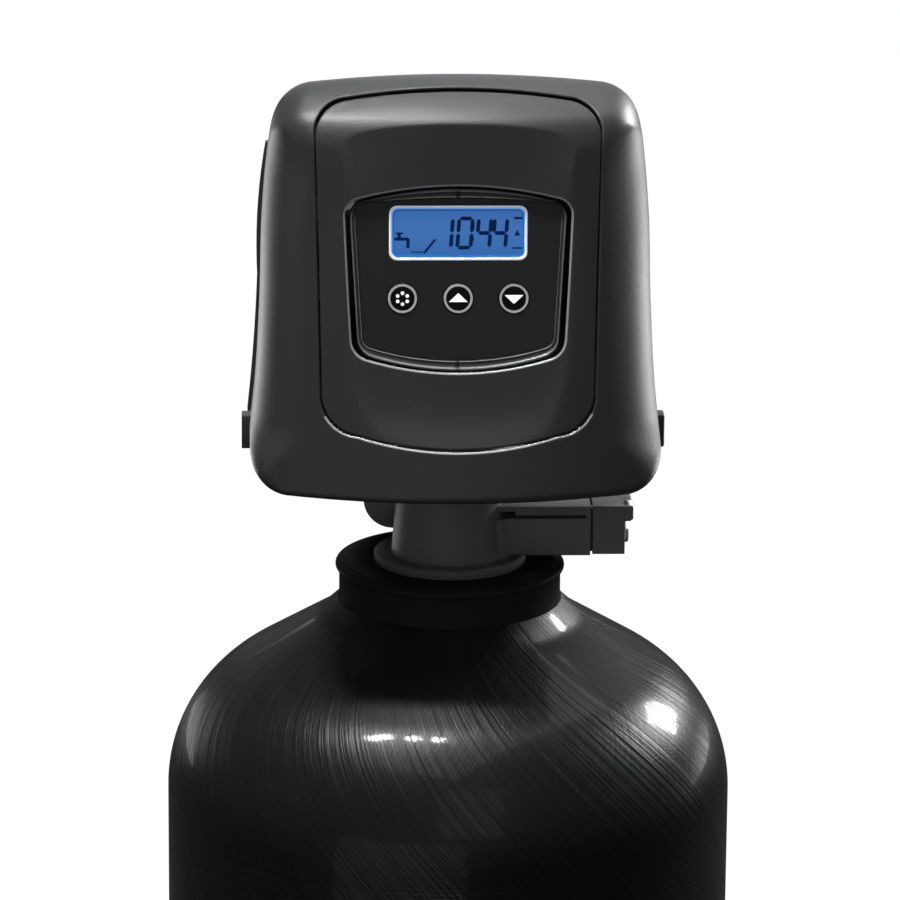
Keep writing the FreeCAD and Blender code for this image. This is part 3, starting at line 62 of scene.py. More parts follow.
WELD = 0.004  # mm, nearer points of a new mesh become one
CAD_WELD = 0.01  # mm, the same in a copy of a CAD mesh
FLAT_WITHIN = math.radians(0.8)  # faces that turn less than this become one flat face
SHARP_FROM = math.radians(34.0)  # edges that turn more than this are shaded sharp
ROUND_FROM = math.radians(40.0)  # edges that turn more than this are rounded
RUN_STEPS = 60  # points on each straight run or arc of an outline
HALVINGS = 34  # times the span is halved in which a ray leaves the head's form
PROBE = 0.05  # mm to each side of a point, where the form's slope is read


class Body(Enum):
    """The frame's bodies that new pieces ride on."""

    FILTER = "filter"
    COVER = "cover"
    RIGHT_LATCH = "right_latch"
    LEFT_LATCH = "left_latch"
    CYCLE_KEY = "cycle_button"
    UP_KEY = "up_button"
    DOWN_KEY = "down_button"
    BYPASS = "bypass_handle"


# Shader maths


def adding(operation: str, swapped: bool = False) -> Callable[["Value", "Value | float"], "Value"]:
    """An operator that adds one Math node.

    Args:
        operation: The node's operation.
        swapped: Whether the other term comes first, as in 1 - mask.

    Returns:
        The method.
    """
    def operator(this: "Value", other: "Value | float") -> "Value":
        """What the node gives."""
        return this.tree.math(operation, *((other, this) if swapped else (this, other)))

    return operator


@dataclass(frozen=True)
class Value:
    """A shader socket that takes part in Python arithmetic, each operator adding a Math node."""

    tree: "Tree"
    socket: bpy.types.NodeSocket

    __add__, __radd__ = adding("ADD"), adding("ADD", swapped=True)
    __sub__, __rsub__ = adding("SUBTRACT"), adding("SUBTRACT", swapped=True)
    __mul__, __rmul__ = adding("MULTIPLY"), adding("MULTIPLY", swapped=True)
    __truediv__ = adding("DIVIDE")


class Tree:
    """One material and the nodes that make it."""

    def __init__(self, name: str) -> None:
        """Starts an empty material.

        Args:
            name: The material's name.
        """
        self.material = bpy.data.materials.new(name)
        self.material.use_nodes = True
        self.graph = self.material.node_tree
        self.graph.nodes.clear()

    @classmethod
    def of_world(cls, world: bpy.types.World) -> "Tree":
        """The emptied node tree of a world."""
        tree = cls.__new__(cls)
        world.use_nodes = True
        tree.material, tree.graph = None, world.node_tree
        tree.graph.nodes.clear()
        return tree

    def node(self, kind: str, settings: dict[str, object] | None = None,
             inputs: dict[str | int, object] | None = None) -> bpy.types.Node:
        """Makes a node.

        Args:
            kind: The node's type, without its ShaderNode prefix.
            settings: Its settings, which are set first.
            inputs: Values or links of its sockets, by name or index.

        Returns:
            The node.
        """
        made = self.graph.nodes.new("ShaderNode" + kind)
        for key, setting in (settings or {}).items():
            setattr(made, key, setting)
        for key, given in (inputs or {}).items():
            if isinstance(given, Value):
                self.graph.links.new(given.socket, made.inputs[key])
            else:
                made.inputs[key].default_value = given
        return made

    def value(self, kind: str, settings: dict[str, object] | None = None,
              inputs: dict[str | int, object] | None = None, output: str | int = 0) -> Value:
        """Makes a node and gives one of its outputs."""
        return Value(self, self.node(kind, settings, inputs).outputs[output])

    def math(self, operation: str, *terms: "Value | float") -> Value:
        """A Math node on values."""
        return self.value("Math", {"operation": operation}, dict(enumerate(terms)))

    def place(self) -> Value:
        """The Object coordinates."""
        return self.value("TexCoord", output="Object")

    def parts(self, vector: Value) -> tuple[Value, Value, Value]:
        """The three parts of a vector."""
        split = self.node("SeparateXYZ", inputs={0: vector})
        return tuple(Value(self, socket) for socket in split.outputs)

    def vector(self, x: Value | float, y: Value | float, z: Value | float) -> Value:
        """A vector from three parts."""
        return self.value("CombineXYZ", inputs={0: x, 1: y, 2: z})

    def noise(self, place: Value, size: float = 1.0 / MM, detail: float = 2.0,
              rough: float = 0.5) -> Value:
        """Noise whose lumps are about a size in millimetres.

        Args:
            place: The coordinates, in metres.
            size: The lumps' size in millimetres.
            detail: Octaves of finer noise.
            rough: How strong each finer octave is.

        Returns:
            The noise, around a half.
        """
        return self.value("TexNoise", inputs={"Vector": place, "Scale": 1.0 / (size * MM),
                                              "Detail": detail, "Roughness": rough})

    def ramp(self, value: Value, low: float, high: float, start: float = 0.0,
             end: float = 1.0) -> Value:
        """Maps a range of a value to another, held outside."""
        return self.value("MapRange", {"interpolation_type": "SMOOTHSTEP"},
                          {0: value, 1: low, 2: high, 3: start, 4: end})

    def mixed(self, share: Value, first: Colour | Value, second: Colour | Value) -> Value:
        """A colour between two, by a share."""
        first, second = ((*c, 1.0) if isinstance(c, tuple) else c for c in (first, second))
        return self.value("Mix", {"data_type": "RGBA"}, {0: share, 6: first, 7: second}, 2)

    def bump(self, height: Value, depth: float, strength: float = 1.0) -> Value:
        """A bump normal from a height of 0 to 1 that stands for a depth in millimetres."""
        return self.value("Bump", inputs={"Strength": strength, "Distance": depth * MM,
                                          "Height": height}, output="Normal")

    def finish(self, **inputs: object) -> bpy.types.Material:
        """Ends the material in a Principled shader.

        Args:
            inputs: The shader's sockets, with underscores for spaces.

        Returns:
            The material.
        """
        named = {key.replace("_", " "): (*given, 1.0) if isinstance(given, tuple) else given
                 for key, given in inputs.items()}
        self.node("OutputMaterial", inputs={"Surface": self.value("BsdfPrincipled", inputs=named)})
        return self.material


# Finishes


@dataclass(frozen=True)
class Moulded:
    """Moulded plastic: faint clouds in its colour and gloss, and a spark-eroded grain."""

    name: str
    colour: Colour
    roughness: float = 0.42
    grain: float = 0.55
    relief: float = 0.03
    clouds: float = 0.12
    specular: float = 0.3
    cloud_size: float = 40.0
    gloss_spread: float = 0.06

    def material(self) -> bpy.types.Material:
        """Its material: wide clouds, and grain noise as bump and in the roughness."""
        tree = Tree(self.name)
        place = tree.place()
        cloud = tree.noise(place, self.cloud_size, 3.0)
        grain = tree.noise(place, self.grain, 3.0, 0.6)
        dark = tuple(c * (1.0 - self.clouds) for c in self.colour)
        light = tuple(min(c * (1.0 + self.clouds), 1.0) for c in self.colour)
        spread = self.gloss_spread
        return tree.finish(
            Base_Color=tree.mixed(cloud * 0.7 + grain * 0.3, dark, light),
            Roughness=self.roughness - spread + cloud * spread + grain * spread,
            Normal=tree.bump(grain, self.relief),
            Specular_IOR_Level=self.specular)


@dataclass(frozen=True)
class WoundShell:
    """Black glass-fibre winding under clear resin: helical rovings, and hoops on the side.

    The rovings' and strands' sizes are their width and length in millimetres.
    """

    name: str = "wound_shell"
    colour: Colour = (0.0035, 0.0035, 0.0038)
    sheen: float = 2.1
    twist: float = 6.8
    roving: Point = (5.5, 420.0)
    strand: Point = (1.1, 160.0)
    crossing: Point = (2.4, 220.0)
    hoop: float = 1.6
    hoop_stretch: float = 8.0
    hoop_share: float = 0.75
    side_top: Point = (1.257, 1.289)
    relief: float = 0.75
    index: float = 1.18
    resin_index: float = 1.25

    def strands(self, tree: Tree, place: Value, size: Point, twist: float) -> Value:
        """Noise drawn out along helices.

        The point is turned about the tank's axis in step with its height, so that helices
        become upright lines, and the noise is stretched along them.

        Args:
            tree: The material's tree.
            place: Object coordinates.
            size: Width and length of a strand in millimetres.
            twist: Radians of turn for each metre of height.

        Returns:
            The noise.
        """
        x, y, z = tree.parts(place)
        angle = tree.math("ARCTAN2", y, x) + z * twist
        radius = TANK_RADIUS / size[0]
        return tree.noise(tree.vector(tree.math("COSINE", angle) * radius,
                                      tree.math("SINE", angle) * radius,
                                      z / (size[1] * MM)), detail=3.0, rough=0.55)

    def material(self) -> bpy.types.Material:
        """Its material: wide rovings and fine strands on the dome, hoops below it."""
        tree = Tree(self.name)
        place = tree.place()
        x, y, z = tree.parts(place)
        rovings = self.strands(tree, place, self.roving, self.twist)
        strands = self.strands(tree, place, self.strand, self.twist)
        crossing = self.strands(tree, place, self.crossing, -self.twist)
        hoops = tree.noise(tree.vector(x * self.hoop_stretch, y * self.hoop_stretch,
                                       z / (self.hoop * MM)), detail=3.0, rough=0.6)
        helical = rovings * 0.62 + strands * 0.25 + crossing * 0.13
        side = tree.ramp(z, *self.side_top, 1.0, 0.0) * self.hoop_share
        height = helical * (1.0 - side) + hoops * side
        pits = tree.noise(place, 3.0, 4.0)
        pale = tuple(self.sheen * c for c in self.colour)
        return tree.finish(
            Base_Color=tree.mixed(strands, self.colour, pale), IOR=self.index,
            Roughness=0.2 + strands * 0.16 + pits * 0.06,
            Normal=tree.bump(height, self.relief, 1.1), Coat_Roughness=0.09,
            Coat_Weight=tree.ramp(strands, 0.4, 0.62, 0.04, 0.62), Coat_IOR=self.resin_index)


@dataclass(frozen=True)
class Metal:
    """Metal with fine scratches that run across."""

    name: str
    colour: Colour = (0.62, 0.62, 0.63)
    roughness: float = 0.3
    scratch: float = 0.5
    stretch: float = 0.12

    def material(self) -> bpy.types.Material:
        """Its material: noise stretched one way for the scratches."""
        tree = Tree(self.name)
        x, y, z = tree.parts(tree.place())
        marks = tree.noise(tree.vector(x * self.stretch, y, z), self.scratch, 4.0, 0.7)
        tint = tree.mixed(marks, tuple(0.8 * c for c in self.colour), self.colour)
        return tree.finish(Base_Color=tint, Metallic=1.0, Normal=tree.bump(marks, 0.01),
                           Roughness=self.roughness - 0.08 + marks * 0.18)


@dataclass(frozen=True)
class Grains:
    """Loose gravel or media: round cells of mixed colours."""

    name: str
    low: Colour
    high: Colour
    size: float = 3.0

    def material(self) -> bpy.types.Material:
        """Its material: Voronoi cells coloured at random and domed by bump."""
        tree = Tree(self.name)
        cells = tree.node("TexVoronoi", inputs={"Vector": tree.place(),
                                                "Scale": 1.0 / (self.size * MM)})
        away, tone = (Value(tree, cells.outputs[k]) for k in ("Distance", "Color"))
        pick = tree.parts(tone)[0]
        return tree.finish(Base_Color=tree.mixed(pick, self.low, self.high),
                           Roughness=0.75 + pick * 0.15,
                           Normal=tree.bump(1.0 - away, 0.4 * self.size))


@dataclass(frozen=True)
class LitPanel:
    """The display's lit field, a little paler towards its middle and faintly uneven."""

    name: str = "lcd_blue"
    colour: Colour = (0.036, 0.135, 0.4)
    pale: Colour = (0.046, 0.155, 0.44)
    centre_up: float = 1.5536
    half_height: float = 0.0115

    def material(self) -> bpy.types.Material:
        """Its material: the glow is the shader's emission, graded by height and by noise."""
        tree = Tree(self.name)
        place = tree.place()
        z = tree.parts(place)[2]
        off = tree.math("ABSOLUTE", z - self.centre_up) / self.half_height
        share = 1.0 - tree.ramp(off, 0.1, 1.1) + (tree.noise(place, 14.0) - 0.5) * 0.3
        return tree.finish(Base_Color=(0.004, 0.01, 0.03), Roughness=0.35,
                           Emission_Color=tree.mixed(share, self.colour, self.pale),
                           Emission_Strength=0.95, Specular_IOR_Level=0.1)


@dataclass(frozen=True)
class Clear:
    """The display's clear lens, thin enough to pass the light straight through."""

    name: str = "lens"

    def material(self) -> bpy.types.Material:
        """Its material: nearly transparent, with faint smears in its gloss."""
        tree = Tree(self.name)
        smear = tree.noise(tree.place(), 6.0, 3.0)
        return tree.finish(Base_Color=(0.02, 0.02, 0.02), Roughness=0.04 + smear * 0.05,
                           Alpha=0.01 + smear * 0.01, Specular_IOR_Level=0.12)


@dataclass(frozen=True)
class Ink:
    """Printed or lit marks: a nearly flat colour with a faint screen-print speckle."""

    name: str
    colour: Colour
    glow: float = 0.0

    def material(self) -> bpy.types.Material:
        """Its material."""
        tree = Tree(self.name)
        speck = tree.noise(tree.place(), 0.4, 2.0)
        tone = tree.mixed(speck, tuple(0.9 * c for c in self.colour), self.colour)
        return tree.finish(Base_Color=tone, Roughness=0.45 + speck * 0.1, Specular_IOR_Level=0.05,
                           Emission_Color=tone, Emission_Strength=self.glow)


class Paint(Enum):
    """The finishes, each with the record's material slot as its name."""

    TANK = WoundShell()
    BASE = Moulded("base_black", (0.016, 0.016, 0.017), 0.5, 0.8, 0.06)
    LINER = Moulded("liner_natural", (0.62, 0.62, 0.56), 0.5)
    NECK = Moulded("neck_black", (0.016, 0.016, 0.0165), 0.5, 0.9, 0.012, 0.1, 0.01)
    PIPE = Moulded("white_pipe", (0.75, 0.75, 0.73), 0.4)
    BASKET = Moulded("basket_white", (0.7, 0.7, 0.67), 0.45)
    GRAVEL = Grains("gravel", (0.3, 0.26, 0.21), (0.55, 0.5, 0.43), 4.0)
    MEDIA = Grains("media", (0.42, 0.35, 0.24), (0.7, 0.62, 0.47), 1.0)
    RUBBER = Moulded("seal_rubber", (0.012, 0.012, 0.012), 0.7, 0.3, 0.02)
    VALVE = Moulded("valve_black", (0.1, 0.1, 0.102), 0.5, 0.5, 0.045, 0.16, 0.2)
    STACK = Moulded("stack_grey", (0.2, 0.2, 0.22), 0.45)
    PISTON = Moulded("piston_white", (0.72, 0.72, 0.69), 0.2, 1.0, 0.005)
    STEEL = Metal("steel")
    PLATE = Moulded("plate_black", (0.022, 0.022, 0.022), 0.6)
    GEAR = Moulded("gear_white", (0.74, 0.74, 0.7), 0.4)
    # Nearly black, so that the motor reads dark where it shows through the cover's seam: painted
    # shade.
    MOTOR = Metal("motor_metal", (0.035, 0.035, 0.037), 0.5)
    COVER = Moulded("cover_black", (0.015, 0.015, 0.0155), 0.42, 0.8, 0.1, 0.14)
    # Lighter grey for rounded lips: a painted highlight where the edges catch the light from
    # above.
    LIP_HIGHLIGHT = Moulded("edge_black", (0.17, 0.17, 0.172), 0.3, 0.5, 0.01, 0.1, 0.6)
    FASCIA = Moulded("overlay_black", (0.0085, 0.0085, 0.0088), 0.36, 0.35, 0.006, 0.08, 0.2)
    # Paler grey on the display rim's ridges: a painted highlight along their crests.
    CREST_HIGHLIGHT = Moulded("rim_crest", (0.11, 0.11, 0.112), 0.3, 0.5, 0.01, 0.1, 0.5)
    BORDER = Ink("frame_pale", (0.72, 0.75, 0.8), 0.12)
    GLOW = Ink("display_glow", (0.14, 0.28, 0.58), 0.85)
    SHADE = Ink("display_shade", (0.006, 0.085, 0.34), 0.95)
    DISPLAY = LitPanel()
    LENS = Clear()
    KEY = Moulded("button_black", (0.001, 0.001, 0.001), 0.5, 0.4, 0.008, 0.1, 0.08)
    BOARD = Moulded("board_green", (0.02, 0.12, 0.05), 0.35, 2.0, 0.02)
    SWITCH = Moulded("switch_black", (0.02, 0.02, 0.021), 0.5)
    FIGURES = Ink("figure_ink", (0.0005, 0.008, 0.04), 0.8)
    RING = Ink("ring_ink", (0.35, 0.35, 0.35))
    # White print on the keys, which also glows a little: print with a painted glow.
    GLOWING_MARKS = Ink("mark_ink", (0.8, 0.8, 0.8), 0.5)

    def material(self) -> bpy.types.Material:
        """The finish's material, made once."""
        known = bpy.data.materials.get("look_" + self.value.name)
        if known is None:
            known = self.value.material()
            known.name = "look_" + self.value.name
        return known


# Surfaces


def smooth_step(x: Array) -> Array:
    """Goes from 0 to 1 as x does: 3 x squared less 2 x cubed, held outside."""
    t = np.clip(x, 0.0, 1.0)
    return t * t * (3.0 - 2.0 * t)


def rounded_max(a: Array, b: Array, radius: Array | float) -> Array:
    """The greater of two distances, with the edge between them rounded by a radius.

    The formula is the length of both distances plus the radius, each held above zero, added
    to the greater distance held below minus the radius.
    """
    outside = np.hypot(np.maximum(a + radius, 0.0), np.maximum(b + radius, 0.0))
    return np.minimum(np.maximum(a, b), -radius) + outside


def smooth_curve(knots: Sequence[Point], x: Array) -> Array:
    """A curve through knots: cubic pieces whose slopes are those between neighbouring knots."""
    kx, ky = np.array(knots, float).T
    slope = np.gradient(ky, kx)
    k = np.clip(np.searchsorted(kx, x) - 1, 0, len(kx) - 2)
    step = kx[k + 1] - kx[k]
    t = np.clip((x - kx[k]) / step, 0.0, 1.0)
    return ((1 + 2 * t) * (1 - t) ** 2 * ky[k] + t * (1 - t) ** 2 * step * slope[k]
            + t * t * (3 - 2 * t) * ky[k + 1] + t * t * (t - 1) * step * slope[k + 1])


def arc_points(start: Point, middle: Point, end: Point) -> Array:
    """Points on the circle through three points, its centre where the bisectors cross."""
    p, q, r = (np.array(v, float) for v in (start, middle, end))
    system = 2.0 * np.array([q - p, r - p])
    centre = np.linalg.solve(system, [q @ q - p @ p, r @ r - p @ p])
    angle = [math.atan2(*(v - centre)[::-1]) for v in (p, q, r)]
    first = (angle[1] - angle[0] + math.pi) % TURN - math.pi
    second = (angle[2] - angle[1] + math.pi) % TURN - math.pi
    turn = np.linspace(angle[0], angle[0] + first + second, RUN_STEPS)
    return centre + np.linalg.norm(p - centre) * np.stack([np.cos(turn), np.sin(turn)], 1)


def outline(start: Point, *steps: Point | tuple[Point, Point]) -> Array:
    """An outline but for its end: a step is a point, run straight to, or a pair, arced through."""
    runs, here = [], start
    for step in steps:
        if isinstance(step[0], tuple):
            runs.append(arc_points(here, *step)[:-1])
            here = step[1]
        else:
            runs.append(np.linspace(here, step, RUN_STEPS)[:-1])
            here = step
    return np.concatenate(runs)


def mirrored_loop(half: Array) -> Array:
    """A closed loop from its right half, which runs from the bottom centre to the top centre."""
    return np.concatenate([half, half[-2:0:-1] * (-1.0, 1.0)])


def symmetric(start: Point, *steps: Point | tuple[Point, Point]) -> Array:
    """A closed loop from the steps of its right half, the last of them at the top centre."""
    last = steps[-1]
    end = last[1] if isinstance(last[0], tuple) else last
    return mirrored_loop(np.vstack([outline(start, *steps), [end]]))


def circle(count: int, radius: float = 1.0, centre: Point = (0.0, 0.0)) -> Array:
    """A circle's outline, anticlockwise: the cosine and sine of even turns."""
    turn = np.linspace(0.0, TURN, count, endpoint=False)
    return np.stack([np.cos(turn), np.sin(turn)], 1) * radius + centre


def turned(profile: Array, count: int, centre: Point = (0.0, 0.0)) -> Array:
    """A profile of radii and heights turned about an upright axis.

    Args:
        profile: Its points, radius and height.
        count: How many copies of it stand round the axis.
        centre: Where the axis stands.

    Returns:
        The points, copies by profile points by three.
    """
    radius, level = profile.T
    flat = circle(count)[:, None] * radius[:, None] + centre
    return np.concatenate([flat, np.broadcast_to(level, flat.shape[:2])[..., None]], -1)


def toward(loop: Array, centre: Point, angles: Array) -> Array:
    """Points of a loop seen from a centre at angles: its distance, interpolated over its angle."""
    away = loop - centre
    reach = np.interp(angles, np.arctan2(away[:, 1], away[:, 0]) % TURN,
                      np.hypot(away[:, 0], away[:, 1]), period=TURN)
    return centre + reach[:, None] * np.stack([np.cos(angles), np.sin(angles)], 1)


def even_angles(loop: Array, centre: Point, count: int) -> Array:
    """Angles about a centre whose points on a loop are evenly spaced along it."""
    closed = np.vstack([loop, loop[:1]])
    run = np.concatenate([[0.0], np.cumsum(np.hypot(*np.diff(closed, axis=0).T))])
    wanted = np.linspace(0.0, run[-1], count, endpoint=False)
    x, y = (np.interp(wanted, run, closed[:, k]) - centre[k] for k in (0, 1))
    return np.arctan2(y, x) % TURN


class Skin:
    """Gathers grids of points, in millimetres, into one mesh."""

    def __init__(self) -> None:
        """Starts with no points."""
        self.points: list[Array] = []
        self.faces: list[list[int]] = []
        self.paints: list[int] = []
        self.count = 0

    def add(self, points: Array, faces: Array, paint: int | Array = 0) -> None:
        """Adds points and the faces between them.

        Args:
            points: Points, any shape ending in three.
            faces: Rows of indices into the points.
            paint: The faces' material index, or a row of them that repeats.
        """
        flat = points.reshape(-1, 3)
        self.points.append(flat)
        self.faces += (faces + self.count).tolist()
        self.paints += np.resize(paint, len(faces)).tolist()
        self.count += len(flat)

    def grid(self, points: Array, around: bool = False, flip: bool = False,
             paint: int | Array = 0) -> None:
        """Adds a surface of two parameters.

        Args:
            points: Its points, rows by columns by three.
            around: Whether the last row joins the first.
            flip: Whether the faces look the other way.
            paint: The faces' material index, or one for each column of faces.
        """
        rows, columns = points.shape[:2]
        index = np.arange(rows * columns).reshape(rows, columns)
        if around:
            index = np.vstack([index, index[:1]])
        corners = [index[:-1, :-1], index[1:, :-1], index[1:, 1:], index[:-1, 1:]]
        if flip:
            corners.reverse()
        self.add(points, np.stack([c.ravel() for c in corners], 1), paint)

    def fan(self, ring: Array, centre: Array, flip: bool = False) -> None:
        """Closes a ring of points with triangles to its centre."""
        n = len(ring)
        k = np.arange(n)
        faces = np.stack([k, (k + 1) % n, np.full(n, n)], 1)
        self.add(np.vstack([ring, centre]), faces[:, ::-1] if flip else faces)

    def plate(self, shape: Array, low: float, high: float, place: Callable[[Array], Array],
              paint: int = 0) -> None:
        """Adds a thin flat shape with its side walls.

        Args:
            shape: Its outline, anticlockwise, as across and along.
            low: How far out its back lies.
            high: How far out its front lies.
            place: Puts points of the face frame in the head's frame.
            paint: The faces' material index.
        """
        back, front = (place(np.column_stack([shape, np.full(len(shape), out)]))
                       for out in (low, high))
        n = len(shape)
        k = np.arange(n)
        self.add(front, k[None, :], paint)
        self.add(back, k[::-1][None, :], paint)
        self.add(np.vstack([back, front]), np.stack([k, (k + 1) % n, (k + 1) % n + n, k + n], 1),
                 paint)

    def piece(self, name: str, *finishes: Paint, up: float = TANK_TOP) -> Piece:
        """Makes the object.

        Args:
            name: Its name.
            finishes: Its finishes, in the order of the material indices.
            up: A height in millimetres added to every point.

        Returns:
            The object, at the origin.
        """
        points = np.concatenate(self.points) + (0.0, 0.0, up)
        mesh = bpy.data.meshes.new(name)
        mesh.from_pydata((points * MM).tolist(), [], self.faces)
        mesh.polygons.foreach_set("material_index", self.paints)
        return placed(mesh, name, *finishes)


def placed(mesh: bpy.types.Mesh, name: str, *finishes: Paint) -> Piece:
    """Welds a mesh, gives it its finishes and puts it in the scene."""
    work = bmesh.new()
    work.from_mesh(mesh)
    bmesh.ops.remove_doubles(work, verts=work.verts, dist=WELD * MM)
    work.to_mesh(mesh)
    work.free()
    for finish in finishes:
        mesh.materials.append(finish.material())
    made = bpy.data.objects.new(name, mesh)
    bpy.context.scene.collection.objects.link(made)
    shade(mesh)
    return made


def shade(mesh: bpy.types.Mesh) -> None:
    """Shades a mesh smooth, but for its sharp edges."""
    mesh.polygons.foreach_set("use_smooth", [True] * len(mesh.polygons))
    mesh.set_sharp_from_angle(angle=SHARP_FROM)


def worked(piece: Piece, wall: float = 0.0, edge: float = 0.0, steps: int = 3) -> Piece:
    """Gives a piece its wall and rounded edges, and keeps the result as its mesh.

    Args:
        piece: The piece.
        wall: Thickness added inwards, in millimetres.
        edge: Radius of its rounded edges, in millimetres.
        steps: Faces across a rounded edge.

    Returns:
        The piece.
    """
    if wall:
        solid = piece.modifiers.new("wall", "SOLIDIFY")
        solid.thickness, solid.offset = wall * MM, -1.0
    if edge:
        bevel = piece.modifiers.new("edges", "BEVEL")
        bevel.width, bevel.segments = edge * MM, steps
        bevel.limit_method, bevel.angle_limit = "ANGLE", ROUND_FROM
        bevel.use_clamp_overlap = True
    bpy.context.view_layer.update()
    done = bpy.data.meshes.new_from_object(
        piece.evaluated_get(bpy.context.evaluated_depsgraph_get()))
    piece.modifiers.clear()
    piece.data = done
    shade(done)
    return piece


def settle(piece: Piece, body: Body, finish: Paint, *nodes: str) -> Piece:
    """Ties a piece to its body and the frame's nodes that it stands for."""
    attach(piece, body.value)
    if nodes:
        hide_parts(*nodes)
    LOG.info("%s rides on %s, %d faces", piece.name, body.value, len(piece.data.polygons))
    return piece


def softened(node: str, finish: Paint, body: Body, edge: float,
             left_end: float | None = None) -> Piece:
    """A frame's piece with its edges rounded.

    The node's triangles are welded and flat faces joined, then edges are rounded.

    Args:
        node: The frame's node.
        finish: Its finish.
        body: The body it rides on.
        edge: Radius of its edges in millimetres.
        left_end: Where its left end is cut back to, in millimetres, if it is.

    Returns:
        The piece that stands for the node.
    """
    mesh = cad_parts[node].data.copy()
    mesh.materials.clear()
    work = bmesh.new()
    work.from_mesh(mesh)
    if left_end is not None:
        for vert in work.verts:
            vert.co.x = max(vert.co.x, left_end * MM)
    bmesh.ops.remove_doubles(work, verts=work.verts, dist=CAD_WELD * MM)
    bmesh.ops.dissolve_limit(work, angle_limit=FLAT_WITHIN, verts=work.verts, edges=work.edges)
    work.to_mesh(mesh)
    work.free()
    mesh.polygons.foreach_set("material_index", [0] * len(mesh.polygons))
    piece = placed(mesh, node + "_form", finish)
    return settle(worked(piece, edge=edge, steps=2), body, finish, node)


# The head's form


@dataclass(frozen=True)
class FaceFrame:
    """The leaning frame of the head's front."""

    front: float = -95.0
    bottom: float = 53.0
    lean: float = math.radians(9.0)

    def to_head(self, p: Array) -> Array:
        """Turns across, along and out into x, y and height."""
        s, c = math.sin(self.lean), math.cos(self.lean)
        return np.stack([p[..., 0], self.front + p[..., 1] * s - p[..., 2] * c,
                         self.bottom + p[..., 1] * c + p[..., 2] * s], -1)

    def to_face(self, p: Array) -> Array:
        """Turns x, y and height into across, along and out."""
        s, c = math.sin(self.lean), math.cos(self.lean)
        back, up = p[..., 1] - self.front, p[..., 2] - self.bottom
        return np.stack([p[..., 0], back * s + up * c, up * s - back * c], -1)

    @property
    def out(self) -> Array:
        """The direction out of the face."""
        return np.array([0.0, -math.cos(self.lean), math.sin(self.lean)])


